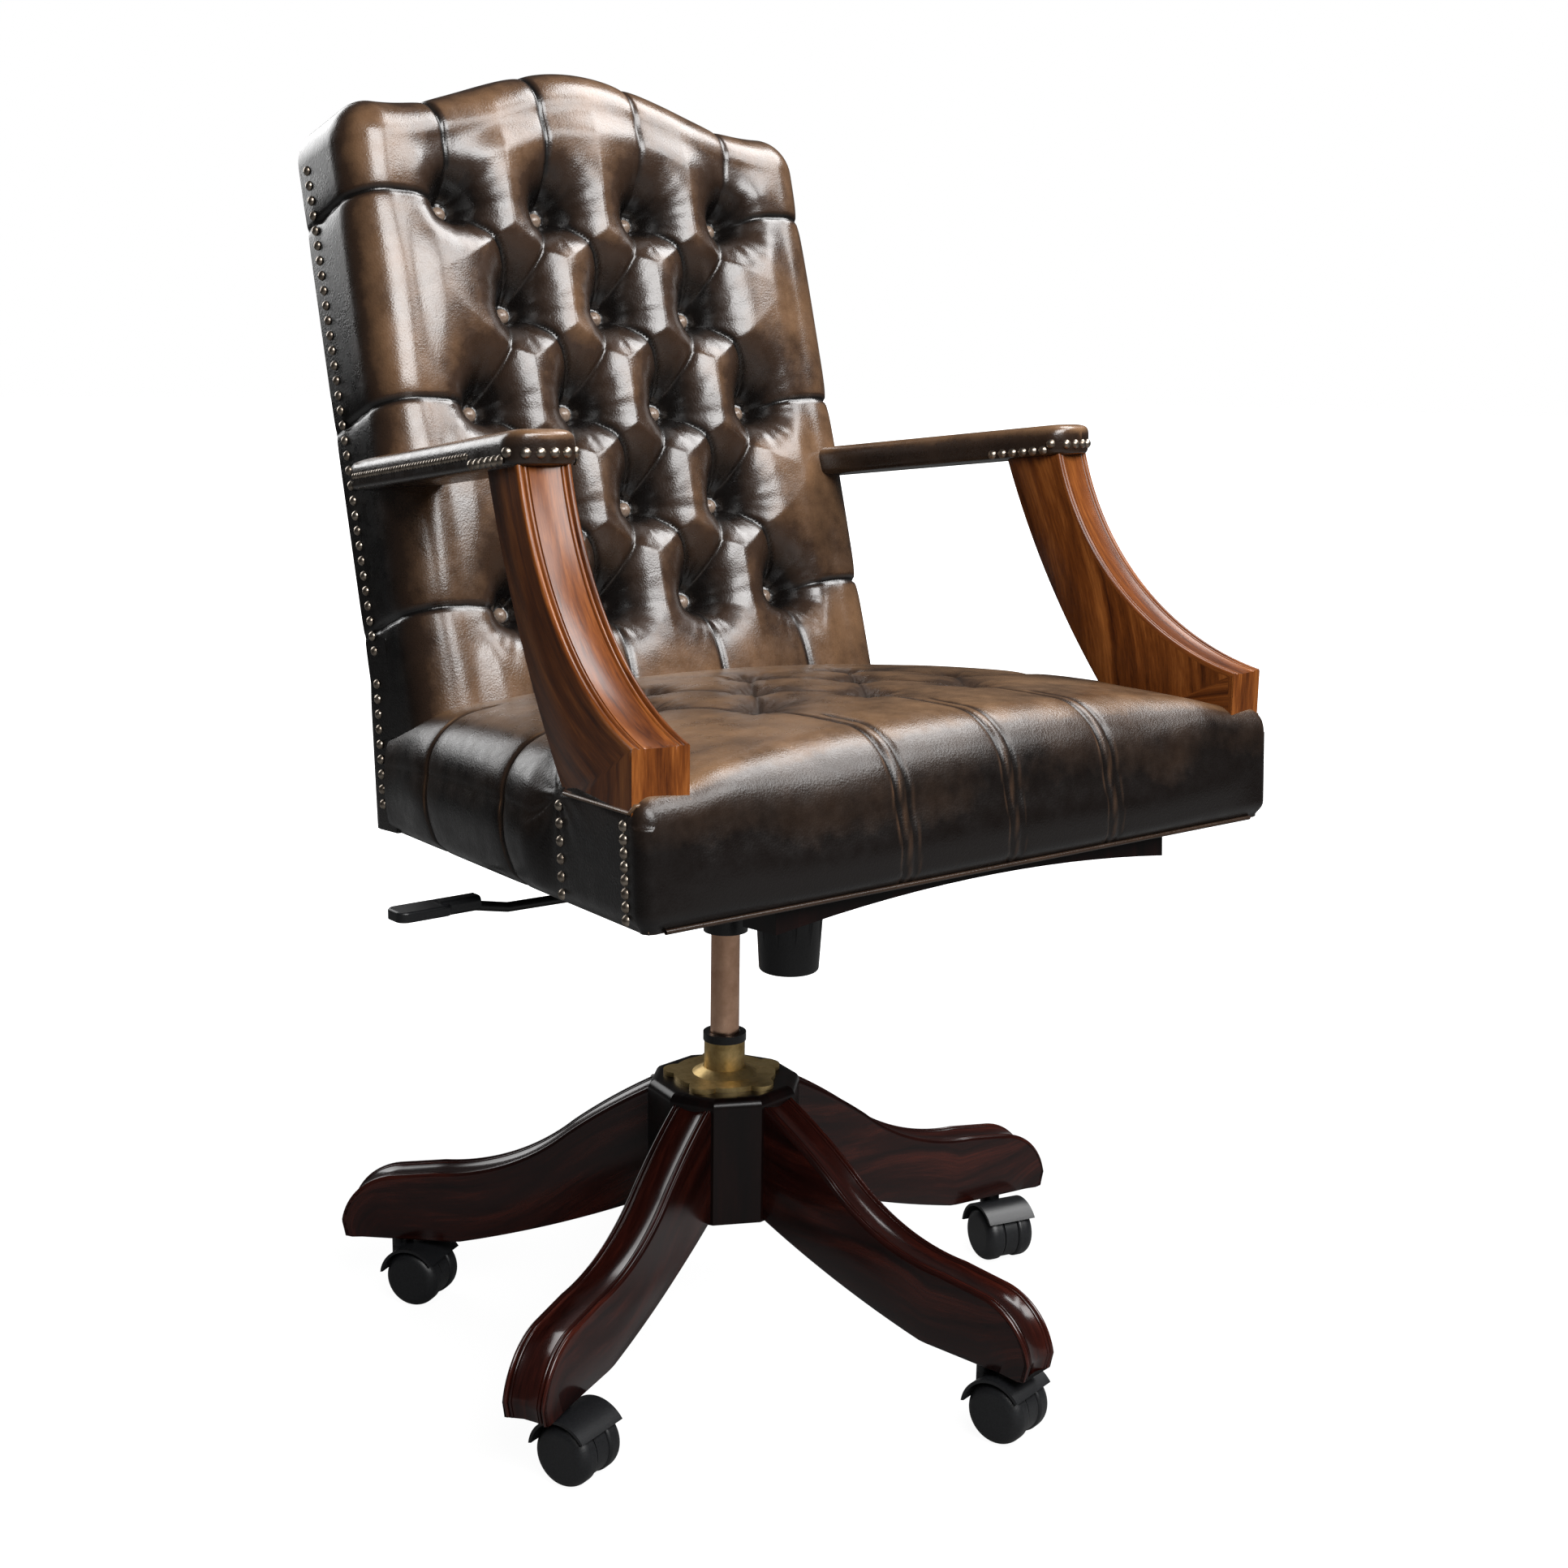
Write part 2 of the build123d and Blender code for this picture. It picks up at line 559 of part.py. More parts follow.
def lever_bracket():
    """Two cheeks on the left wall that carry the lever's trunnions."""
    cheek = EAR_THICKNESS
    inside = LEVER_ROD_DIAMETER / 2 + HOUSING_WALL
    out = -LEVER_PIVOT_OUT - TRUNNION_DIAMETER
    pair = None
    for side in (-1, 1):
        near = side * inside
        far = side * (inside + cheek)
        low = LEVER_Z - TRUNNION_DIAMETER
        high = LEVER_Z + TRUNNION_DIAMETER
        ear = block((out, -HOUSING_WIDTH / 2), (min(near, far), max(near, far)), (low, high))
        pair = ear if pair is None else pair + ear
    hole = Rot(90, 0, 0) * Cylinder(TRUNNION_DIAMETER / 2 + RUNNING_FIT, 2 * (inside + cheek) + 2)
    return pair - Pos(-LEVER_PIVOT_OUT, 0, LEVER_Z) * hole


def tilt_shaft():
    reach = HOUSING_WIDTH / 2 + EAR_GAP + EAR_THICKNESS
    return Pos(0, TILT_Y, TILT_Z) * cross_bar(SHAFT_DIAMETER, reach)


def plate_bolt_places():
    for x in (-1, 1):
        for y in (-1, 1):
            yield Pos(x * PLATE_BOLT_SPACING / 2, y * PLATE_BOLT_SPACING / 2, PLATE_BOTTOM)


def seat_plate():
    """The tilting plate in the seat's own frame, with ears on the shaft and lugs for the bolt."""
    plate = block(
        (-PLATE_WIDTH / 2, PLATE_WIDTH / 2),
        (-PLATE_LENGTH / 2, PLATE_LENGTH / 2),
        (PLATE_BOTTOM, PLATE_TOP),
    )
    inside = HOUSING_WIDTH / 2 + EAR_GAP
    ear = cross_bar(2 * EAR_RADIUS, EAR_THICKNESS / 2)
    ear += block(
        (-EAR_THICKNESS / 2, EAR_THICKNESS / 2), (-EAR_RADIUS, EAR_RADIUS), (0, PLATE_BOTTOM)
    )
    for side in (-1, 1):
        plate += Pos(side * (inside + EAR_THICKNESS / 2), 0, 0) * ear
    plate -= cross_bar(SHAFT_DIAMETER, inside + EAR_THICKNESS + 1)
    for place in plate_bolt_places():
        plate -= place * post(PLATE_BOLT_DIAMETER, -1, PLATE_THICKNESS + 1)
    plate = SEAT * plate
    for lug in bolt_lugs():
        plate += lug
    pin = Pos(0, -KNOB_FORWARD, TILT_Z) * cross_bar(BOLT_PIN_DIAMETER + 2 * RUNNING_FIT, HOUSING_WIDTH)
    return plate - pin


def bolt_lugs():
    """Two lugs that hang from the plate and carry the tension bolt's cross pin."""
    inside = TENSION_BOLT_DIAMETER / 2 + LUG_GAP
    radius = TILT_Z - FRONT_FLOOR_TOP - SOFT_GAP
    lean = (KNOB_FORWARD + TILT_Y) * sin(radians(SEAT_PITCH))
    high = TILT_Z + PLATE_BOTTOM * cos(radians(SEAT_PITCH)) + lean + PLATE_THICKNESS / 2
    for side in (-1, 1):
        middle = side * (inside + LUG_THICKNESS / 2)
        lug = cross_bar(2 * radius, LUG_THICKNESS / 2)
        lug += block((-LUG_THICKNESS / 2, LUG_THICKNESS / 2), (-radius, radius), (0, high - TILT_Z))
        yield Pos(middle, -KNOB_FORWARD, TILT_Z) * lug


def plate_bolts():
    """Hexagon-headed bolts that hold the plate to the battens."""
    head = extrude(RegularPolygon(PLATE_BOLT_HEAD / 2, 6), PLATE_BOLT_HEAD_HEIGHT)
    bolt = Pos(0, 0, -PLATE_BOLT_HEAD_HEIGHT) * head + post(PLATE_BOLT_DIAMETER, 0, PLATE_BOLT_LENGTH)
    return [SEAT * place * bolt for place in plate_bolt_places()]


def tension_bolt():
    """A bolt with a cross pin at its head, running down into the knob."""
    pin_reach = TENSION_BOLT_DIAMETER / 2 + LUG_GAP + LUG_THICKNESS
    head = TILT_Z + TENSION_BOLT_DIAMETER / 2
    shank = post(TENSION_BOLT_DIAMETER, KNOB_BOTTOM + KNOB_WALL / 2, head)
    shank += Pos(0, 0, TILT_Z) * cross_bar(BOLT_PIN_DIAMETER, pin_reach)
    return Pos(0, -KNOB_FORWARD, 0) * shank


def tension_spring():
    """A plain sleeve that stands for the coils, hidden in the cup and the knob."""
    low = KNOB_BOTTOM + KNOB_WALL
    sleeve = tube(SPRING_DIAMETER, SPRING_DIAMETER - 2 * SPRING_WIRE, low, FRONT_FLOOR_BOTTOM)
    return Pos(0, -KNOB_FORWARD, 0) * sleeve


def tension_knob():
    """A fluted, tapered hand knob, hollow for the spring and its cup."""
    top = KNOB_DIAMETER / 2
    knob = Cone(top - KNOB_TAPER / 2, top, KNOB_HEIGHT, align=FLOOR_TO_CENTRE)
    knob = fillet(knob.edges().sort_by(Axis.Z)[0], KNOB_WALL / 2)
    flute = Pos(top + FLUTE_DIAMETER / 5, 0, -1) * Cylinder(
        FLUTE_DIAMETER / 2, KNOB_HEIGHT + 2, align=FLOOR_TO_CENTRE
    )
    for index in range(KNOB_FLUTES):
        knob -= Rot(0, 0, 360 / KNOB_FLUTES * index) * flute
    hollow = KNOB_DIAMETER - KNOB_TAPER - FLUTE_DIAMETER
    knob -= post(hollow, KNOB_WALL, KNOB_HEIGHT + 1)
    knob -= post(TENSION_BOLT_DIAMETER + 2 * RUNNING_FIT, KNOB_WALL / 2 - RUNNING_FIT, KNOB_HEIGHT)
    return Pos(0, -KNOB_FORWARD, KNOB_BOTTOM) * knob


def lever_rod():
    """A bent rod from above the release button out past the seat's left side, with trunnions."""
    inner_end = (BUTTON_DIAMETER / 2, 0, LEVER_Z)
    bend = (-LEVER_BEND_OUT, 0, LEVER_Z + LEVER_BEND_RISE)
    grip = (-LEVER_GRIP_OUT - GRIP_LENGTH / 2, 0, LEVER_Z + LEVER_GRIP_RISE)
    pivot = (-LEVER_PIVOT_OUT, 0, LEVER_Z)
    path = FilletPolyline(inner_end, pivot, bend, grip, radius=LEVER_ROD_DIAMETER * 2)
    section = Plane(origin=inner_end, z_dir=(-1, 0, 0)) * Circle(LEVER_ROD_DIAMETER / 2)
    rod = sweep(section, path=path)
    pin = LEVER_ROD_DIAMETER / 2 + HOUSING_WALL + EAR_THICKNESS
    trunnion = Rot(90, 0, 0) * Cylinder(TRUNNION_DIAMETER / 2, 2 * pin)
    return rod + Pos(-LEVER_PIVOT_OUT, 0, LEVER_Z) * trunnion


def lever_handle():
    """A grip on the rod and a flat paddle at the end of it."""
    grip = Box(GRIP_LENGTH, GRIP_WIDTH, GRIP_HEIGHT)
    grip = fillet(grip.edges().filter_by(Axis.X), GRIP_HEIGHT / 3)
    out = -LEVER_GRIP_OUT - GRIP_LENGTH / 2
    grip = Pos(out, 0, LEVER_Z + LEVER_GRIP_RISE) * grip
    paddle = Box(PADDLE_LENGTH, PADDLE_WIDTH, PADDLE_THICKNESS)
    paddle = fillet(paddle.edges().filter_by(Axis.Z), PADDLE_THICKNESS)
    paddle = fillet(paddle.faces().sort_by(Axis.Z)[-1].edges(), PADDLE_THICKNESS / 4)
    reach = out - GRIP_LENGTH / 2 - PADDLE_LENGTH / 2 + PADDLE_THICKNESS
    handle = grip + Pos(reach, 0, LEVER_Z + LEVER_GRIP_RISE) * paddle
    return handle - lever_rod()


# Seat, drawn in the seat's own frame: origin on the tilt axis, pitched with the seat

def seat_half_width(y):
    """Half of the seat's width at a distance along the seat, before any inset."""
    return SEAT_FRONT_WIDTH / 2 - SIDE_SPLAY * (y + SEAT_FRONT)


def seat_outline(inset, front_inset=None):
    """The seat's tapered plan, drawn in from its front and sides but not from its rear."""
    front = -SEAT_FRONT + (inset if front_inset is None else front_inset)
    slant = inset * sqrt(1 + SIDE_SPLAY**2)
    points = []
    for y in (front, SEAT_REAR):
        points.append((seat_half_width(y) - slant, y))
    mirrored = [(-x, y) for x, y in reversed(points)]
    return make_face(Polyline(*points, *mirrored, close=True))


def seat_slice(inset, low, high):
    return Pos(0, 0, low) * extrude(seat_outline(inset), high - low)


def seat_frame():
    """A hardwood frame of four rails."""
    outer = seat_slice(WRAP, SEAT_RISE + DUST_COVER, FRAME_TOP)
    opening = seat_slice(WRAP + FRAME_RAIL, SEAT_RISE, FRAME_TOP + 1)
    reach = SEAT_FRONT_WIDTH
    opening -= block((-reach, reach), (SEAT_REAR - FRAME_RAIL, SEAT_REAR + 1), (0, FRAME_TOP + 2))
    return SEAT * (outer - opening)


def seat_webbing():
    """The webbed deck let in between the rails."""
    deck = seat_slice(WRAP + FRAME_RAIL, FRAME_TOP - WEBBING, FRAME_TOP)
    reach = SEAT_FRONT_WIDTH
    deck &= block((-reach, reach), (-SEAT_FRONT, SEAT_REAR - FRAME_RAIL), (0, FRAME_TOP))
    return SEAT * deck


def dust_cover():
    return SEAT * seat_slice(WRAP, SEAT_RISE, SEAT_RISE + DUST_COVER)


def crown_at(x, y):
    """Height of the seat's crowned top over a point of its plan."""
    return SEAT_CROWN - CROWN_RADIUS + sqrt(CROWN_RADIUS**2 - x**2 - (y - CROWN_CENTRE) ** 2)


def plain_seat():
    """The upholstered seat before its tufts and pleats are sewn in."""
    seat = extrude(seat_outline(0), SEAT_CROWN)
    seat &= Pos(0, CROWN_CENTRE, SEAT_CROWN - CROWN_RADIUS) * Sphere(CROWN_RADIUS)
    seat -= block((-SEAT_FRONT_WIDTH, SEAT_FRONT_WIDTH), (-2 * SEAT_FRONT, 2 * SEAT_FRONT), (-1, SEAT_RISE))
    rim = [edge for edge in seat.faces().sort_by(Axis.Z)[-1].edges() if edge.center().Y < SEAT_REAR - 1]
    seat = fillet(rim, SEAT_ROLL)
    return seat - seat_slice(WRAP, 0, FRAME_TOP)


def seat_tuft_places():
    """Sewn tufts in three staggered rows, as points of the plan."""
    for row in range(3):
        count = 3 if row % 2 == 0 else 4
        for index in range(count):
            yield ((index - (count - 1) / 2) * SEAT_TUFT_PITCH, SEAT_TUFT_FRONT + row * SEAT_TUFT_ROW)


def seat_tuft(x, y):
    height = crown_at(x, y)
    cone = Cone(SEAT_TUFT_TIP, SEAT_TUFT_RADIUS, SEAT_TUFT_DEPTH + 2, align=FLOOR_TO_CENTRE)
    return Pos(x, y, height - SEAT_TUFT_DEPTH) * cone


def seat_fold(start, end):
    """A V-shaped fold in the seat's top from one point of the plan to another."""
    length = hypot(end[0] - start[0], end[1] - start[1])
    low = min(crown_at(*start), crown_at(*end)) - PLEAT_DEPTH
    flank = 2 * PLEAT_DEPTH
    wedge = make_face(Polyline((0, 0), (PLEAT_DEPTH, flank), (-PLEAT_DEPTH, flank), close=True))
    along = Vector(end[0] - start[0], end[1] - start[1], 0)
    side = along.cross(Vector(0, 0, 1))
    place = Plane(origin=(start[0], start[1], low), x_dir=side, z_dir=along)
    prism = extrude(place * wedge, length)
    if prism.center().Z < low:
        prism = extrude(Plane(origin=(start[0], start[1], low), x_dir=-side, z_dir=along) * wedge, length)
    return prism


def front_pleat(x):
    """A narrow pleat from a front tuft over the front edge and down to the seat's lower edge."""
    front = -SEAT_FRONT + PLEAT_DEPTH
    top = crown_at(x, front) - PLEAT_DEPTH
    roll = SEAT_ROLL
    bend = roll * (1 - sqrt(0.5))
    tuft = (SEAT_TUFT_FRONT, crown_at(x, SEAT_TUFT_FRONT) - PLEAT_DEPTH)
    edges = [
        Line((front, SEAT_RISE - 1), (front, top - roll)),
        ThreePointArc((front, top - roll), (front + bend, top - bend), (front + roll, top)),
        Line((front + roll, top), tuft),
        Line(tuft, (SEAT_TUFT_FRONT, SEAT_CROWN + 5)),
        Line((SEAT_TUFT_FRONT, SEAT_CROWN + 5), (-SEAT_FRONT - 5, SEAT_CROWN + 5)),
        Line((-SEAT_FRONT - 5, SEAT_CROWN + 5), (-SEAT_FRONT - 5, SEAT_RISE - 1)),
        Line((-SEAT_FRONT - 5, SEAT_RISE - 1), (front, SEAT_RISE - 1)),
    ]
    cut = extrude(Plane.YZ * make_face(edges), PLEAT_WIDTH / 2, both=True)
    return Pos(x, 0, 0) * cut


def seat_cushion(feet):
    """The leather seat with its crown, tufts and pleats, cut out round the feet of the arms."""
    seat = plain_seat()
    tufts = list(seat_tuft_places())
    cutters = [seat_tuft(x, y) for x, y in tufts]
    for first in tufts:
        for second in tufts:
            near = abs(first[0] - second[0]) < SEAT_TUFT_PITCH
            if near and abs(second[1] - first[1] - SEAT_TUFT_ROW) < 1:
                cutters.append(seat_fold(first, second))
    for x, y in tufts:
        if y == SEAT_TUFT_FRONT:
            cutters.append(front_pleat(x))
    seat = SEAT * (seat - cutters)
    return seat - feet


def seat_battens():
    """Two bearers for the plate and an arched batten under the front of the seat."""
    parts = []
    for side in (-1, 1):
        middle = side * PLATE_BOLT_SPACING / 2
        bearer = block(
            (middle - BATTEN_WIDTH / 2, middle + BATTEN_WIDTH / 2),
            (-BATTEN_LENGTH / 2, BATTEN_LENGTH / 2),
            (PLATE_TOP, SEAT_RISE),
        )
        for place in plate_bolt_places():
            bearer -= place * post(PLATE_BOLT_DIAMETER, 0, PLATE_BOLT_LENGTH)
        parts.append(SEAT * bearer)
    front = -SEAT_FRONT + FRONT_BATTEN_SETBACK
    half = FRONT_BATTEN_LENGTH / 2
    edges = [
        Line((-half, SEAT_RISE), (-half, PLATE_TOP)),
        ThreePointArc((-half, PLATE_TOP), (0, PLATE_TOP + FRONT_BATTEN_ARCH), (half, PLATE_TOP)),
        Line((half, PLATE_TOP), (half, SEAT_RISE)),
        Line((half, SEAT_RISE), (-half, SEAT_RISE)),
    ]
    batten = extrude(Plane.XZ * make_face(edges), -BATTEN_WIDTH)
    parts.append(SEAT * Pos(0, front, 0) * batten)
    return parts


# Back, drawn in its own frame: origin at the kink in the rear face, Z up the back, -Y forwards

def back_half_width(height):
    """Half of the back's width at a height up the back."""
    share = (height + BACK_SKIRT) / (BACK_CORNER_HEIGHT + BACK_SKIRT)
    return (BACK_BOTTOM_WIDTH + (BACK_TOP_WIDTH - BACK_BOTTOM_WIDTH) * share) / 2


def back_outline(inset, low):
    """Front view of the back with its camel-backed top rail, drawn in all round but at its foot."""
    hump = BACK_HUMP_HEIGHT - inset
    shoulder = BACK_CORNER_HEIGHT - inset
    spring_x = BACK_HUMP_WIDTH / 2
    flat_x = BACK_SHOULDER_WIDTH / 2 - inset
    rise = BACK_HUMP_HEIGHT - BACK_CORNER_HEIGHT
    spring_z = shoulder + rise * 0.48
    dip = ((spring_x + flat_x) / 2, shoulder + rise * 0.12)
    corner_x = back_half_width(BACK_CORNER_HEIGHT) - inset
    foot_x = back_half_width(low) - inset
    edges = [ThreePointArc((-spring_x, spring_z), (0, hump), (spring_x, spring_z))]
    for side in (-1, 1):
        spring = (side * spring_x, spring_z)
        flat = (side * flat_x, shoulder)
        edges.append(ThreePointArc(spring, (side * dip[0], dip[1]), flat))
        edges.append(Line(flat, (side * corner_x, shoulder)))
        edges.append(Line((side * corner_x, shoulder), (side * foot_x, low)))
    edges.append(Line((-foot_x, low), (foot_x, low)))
    return make_face(edges)


def back_slice(inset, low, near, far):
    """The back's outline as a slab between two depths in front of the rear face."""
    slab = extrude(Plane.XZ * back_outline(inset, low), far - near)
    slab = Pos(0, -near, 0) * slab
    top = [edge for edge in slab.edges().filter_by(Axis.Y)
           if abs(edge.center().X) > back_half_width(BACK_CORNER_HEIGHT) - inset - 1
           and edge.center().Z > BACK_CORNER_HEIGHT - inset - 1]
    return fillet(top, BACK_CORNER - inset)


def lower_back_slab(x, near, far):
    """A slab of the upright lower part of the back, behind the seat."""
    return SEAT * block(x, (BACK_REAR - far, BACK_REAR - near), (SEAT_RISE, BACK_KINK))


def lower_back(half, near, far):
    return lower_back_slab((-half, half), near, far)


def back_frame():
    """The board that carries the back, let down behind the seat frame."""
    near = WRAP_BEHIND
    far = WRAP_BEHIND + BACK_BOARD
    lap = BACK_BOARD / 3
    board = BACK * back_slice(WRAP, -lap, near, far)
    half = back_half_width(-lap) - WRAP
    return board + lower_back(half, near, far)


def outside_back():
    """The padded leather panel behind the back."""
    panel = back_slice(WRAP / 2, 0, -OUTSIDE_BACK, WRAP_BEHIND)
    half = back_half_width(0) - WRAP / 2
    return BACK * panel + lower_back(half, -OUTSIDE_BACK, WRAP_BEHIND)


def button_places():
    """Buttons of the back in staggered rows, as points of its front view."""
    for row in range(BUTTON_ROWS):
        count = 4 if row % 2 == 0 else 3
        for index in range(count):
            yield ((index - (count - 1) / 2) * BUTTON_PITCH, BUTTON_TOP_ROW - row * BUTTON_ROW_PITCH)


def on_back_front(x, z, depth):
    """A place on the back, facing forwards, at a depth in front of the rear face."""
    return Pos(x, -depth, z) * Rot(90, 0, 0)


def tuft_well():
    """The funnel that a button draws into the padding, opening along +Z."""
    depth = BACK_DEPTH - BUTTON_SEAT
    edges = [
        Line((0, 0), (WELL_THROAT, 0)),
        ThreePointArc((WELL_THROAT, 0), (WELL_THROAT * 1.9, depth * 0.62), (WELL_RADIUS, depth + 1)),
        Line((WELL_RADIUS, depth + 1), (0, depth + 1)),
        Line((0, depth + 1), (0, 0)),
    ]
    return revolve(Plane.XZ * make_face(edges), Axis.Z)


def fold_cut(start, end, width, depth):
    """A V-shaped fold in the back's front from one point of the front view to another."""
    run = Vector(end[0] - start[0], 0, end[1] - start[1])
    plane = Plane(origin=(start[0], -BACK_DEPTH, start[1]), x_dir=(0, -1, 0), z_dir=run)
    wedge = make_face(Polyline((-depth, 0), (1, width / 2), (1, -width / 2), close=True))
    return extrude(plane * wedge, run.length)


def back_folds():
    """Diamond folds between neighbouring buttons and pleats out to the edges."""
    places = list(button_places())
    last = BUTTON_TOP_ROW - (BUTTON_ROWS - 1) * BUTTON_ROW_PITCH
    outer = 1.5 * BUTTON_PITCH
    for first in places:
        for second in places:
            beside = abs(first[0] - second[0]) < BUTTON_PITCH
            if beside and abs(first[1] - second[1] - BUTTON_ROW_PITCH) < 1:
                yield fold_cut(first, second, FOLD_WIDTH, FOLD_DEPTH)
    for x, z in places:
        if z == BUTTON_TOP_ROW:
            yield fold_cut((x, z), (x, BACK_HUMP_HEIGHT), EDGE_PLEAT_WIDTH, EDGE_PLEAT_DEPTH)
        if abs(z - last) < 1:
            yield fold_cut((x, z), (x, -BACK_SKIRT - BACK_DEPTH), EDGE_PLEAT_WIDTH, EDGE_PLEAT_DEPTH)
        if abs(x) > outer - 1:
            side = x + (BACK_BOTTOM_WIDTH if x > 0 else -BACK_BOTTOM_WIDTH) / 2
            yield fold_cut((x, z), (side, z), EDGE_PLEAT_WIDTH, EDGE_PLEAT_DEPTH)


def plain_back():
    """The padding and leather of the back before it is buttoned, wrapped round the board."""
    padding = back_slice(0, -BACK_SKIRT, WRAP_BEHIND, BACK_DEPTH)
    rim = padding.faces().sort_by(Axis.Y)[0].edges()
    rim = [edge for edge in rim if edge.center().Z > -BACK_SKIRT + 1]
    return fillet(rim, BACK_ROLL)


def back_cushion(seat_block, arm_ends):
    """The deep-buttoned leather back, resting on the seat and let in round the arms."""
    back = plain_back()
    back = back - [on_back_front(x, z, BUTTON_SEAT) * tuft_well() for x, z in button_places()]
    back = back - list(back_folds())
    back = BACK * back
    half = BACK_BOTTOM_WIDTH / 2
    inner = back_half_width(0) - WRAP
    for side in (-1, 1):
        back += lower_back_slab(sorted((side * inner, side * half)), WRAP_BEHIND, WRAP_BEHIND + BACK_BOARD)
    back -= back_frame()
    back -= seat_block
    return back - arm_ends


def back_buttons():
    button = dome(BACK_BUTTON_DIAMETER, BACK_BUTTON_HEIGHT)
    return [BACK * on_back_front(x, z, BUTTON_SEAT) * button for x, z in button_places()]


# Arms, drawn for the right-hand side in a plane that lies along the seat's side

SPLAY_ANGLE = atan(SIDE_SPLAY)
ARM_OUT = seat_half_width((ARM_FRONT - TILT_Y) / cos(radians(SEAT_PITCH)))
ARM_PLANE = Plane(
    origin=(ARM_OUT, ARM_FRONT, 0),
    x_dir=(-sin(SPLAY_ANGLE), cos(SPLAY_ANGLE), 0),
    z_dir=(cos(SPLAY_ANGLE), sin(SPLAY_ANGLE), 0),
)


def frame_top_height(along):
    """Height of the seat frame's upper face below a point along the arm."""
    back = ARM_FRONT + along * cos(SPLAY_ANGLE) - TILT_Y
    return TILT_Z + FRAME_TOP / cos(radians(SEAT_PITCH)) - back * tan(radians(SEAT_PITCH))


def sagging_arc(start, end, sag):
    """An arc between two points that stands off its chord, to the right of the way it runs."""
    run = Vector(end[0] - start[0], end[1] - start[1])
    middle = (Vector(*start) + Vector(*end)) / 2
    off = Vector(run.Y, -run.X) * (sag / run.length)
    bulge = middle + off
    return ThreePointArc(start, (bulge.X, bulge.Y), end)


def pad_line(along, front, rear):
    """A height on the straight line from the pad's nose to its rear end."""
    nose = POST_TOP_FRONT - PAD_NOSE
    return front + (rear - front) * (along - nose) / (PAD_REACH - nose)


def arm_post():
    """A curved post that stands on the seat frame and carries the front of the arm."""
    sunk = ARM_THICKNESS * sin(SPLAY_ANGLE)
    foot_front = (0, frame_top_height(0) - sunk)
    foot_top = (0, FOOT_TOP)
    top_front = (POST_TOP_FRONT, pad_line(POST_TOP_FRONT, POST_TOP, PAD_REAR_BOTTOM))
    top_along = POST_TOP_FRONT + POST_TOP_DEPTH
    top_rear = (top_along, pad_line(top_along, POST_TOP, PAD_REAR_BOTTOM))
    foot_rear = (FOOT_LENGTH, frame_top_height(FOOT_LENGTH) - sunk)
    edges = [
        Line(foot_front, foot_top),
        sagging_arc(foot_top, top_front, POST_FRONT_SAG),
        Line(top_front, top_rear),
        sagging_arc(top_rear, foot_rear, -POST_REAR_SAG),
        Line(foot_rear, foot_front),
    ]
    reach = SEAT_FRONT_WIDTH
    below = SEAT * block((-reach, reach), (-reach, reach), (0, FRAME_TOP))
    return extrude(ARM_PLANE * make_face(edges), -ARM_THICKNESS) - below


def behind_back_board():
    """Everything behind the front face of the back's board."""
    reach = BACK_HUMP_HEIGHT
    depth = WRAP_BEHIND + BACK_BOARD
    return BACK * block((-reach, reach), (-depth, reach), (-reach, reach))


def arm_pad_outline(top_drop, bottom_lift, nose):
    front = POST_TOP_FRONT - PAD_NOSE
    start = front + nose
    rear = PAD_REACH
    top = POST_TOP + PAD_FRONT_THICKNESS
    low_front = (start, pad_line(start, POST_TOP, PAD_REAR_BOTTOM) + bottom_lift)
    low_rear = (rear, PAD_REAR_BOTTOM + bottom_lift)
    high_rear = (rear, PAD_REAR_TOP - top_drop)
    high_front = (start, pad_line(start, top, PAD_REAR_TOP) - top_drop)
    return ARM_PLANE * make_face(Polyline(low_front, low_rear, high_rear, high_front, close=True))


def arm_rail():
    """The wooden rail inside an arm pad, from over the post to the back's board."""
    inset = (ARM_THICKNESS - RAIL_WIDTH) / 2
    lift = PAD_FRONT_THICKNESS - RAIL_THICKNESS - WRAP
    rail = extrude(arm_pad_outline(WRAP, lift, PAD_NOSE), -RAIL_WIDTH)
    rail = Pos(*(ARM_PLANE.z_dir * -inset)) * rail
    return rail - behind_back_board()


def arm_pad():
    """The leather pad over the rail, rounded at its nose."""
    width = ARM_THICKNESS + 2 * PAD_OVERHANG
    pad = extrude(arm_pad_outline(0, 0, 0), -width)
    pad = Pos(*(ARM_PLANE.z_dir * PAD_OVERHANG)) * pad
    nose = pad.edges().filter_by(Axis.Z).group_by(Axis.Y)[0]
    pad = fillet(nose, ARM_THICKNESS / 3)
    top = pad.faces().sort_by(Axis.Z)[-1].edges()
    pad = fillet([edge for edge in top if edge.center().Y < SEAT_REAR], PAD_EDGE)
    return pad - behind_back_board() - arm_rail()


# Upholstery nails

def nail():
    return dome(NAIL_DIAMETER, NAIL_HEIGHT)


def side_nail_places():
    """Nails up the rear edge of the back's right side, each with +Z out of the leather."""
    taper = degrees(atan((BACK_BOTTOM_WIDTH - BACK_TOP_WIDTH) / 2 / (BACK_CORNER_HEIGHT + BACK_SKIRT)))
    depth = WRAP_BEHIND + NAIL_MARGIN
    count = int((BACK_CORNER_HEIGHT - BACK_CORNER) / NAIL_PITCH)
    for index in range(1, count + 1):
        height = index * NAIL_PITCH
        yield BACK * Pos(back_half_width(height), -depth, height) * Rot(0, 90 - taper, 0)
    for index in range(1, int((BACK_KINK - SEAT_RISE) / NAIL_PITCH)):
        height = BACK_KINK - index * NAIL_PITCH
        yield SEAT * Pos(BACK_BOTTOM_WIDTH / 2, BACK_REAR - depth, height) * Rot(0, 90, 0)


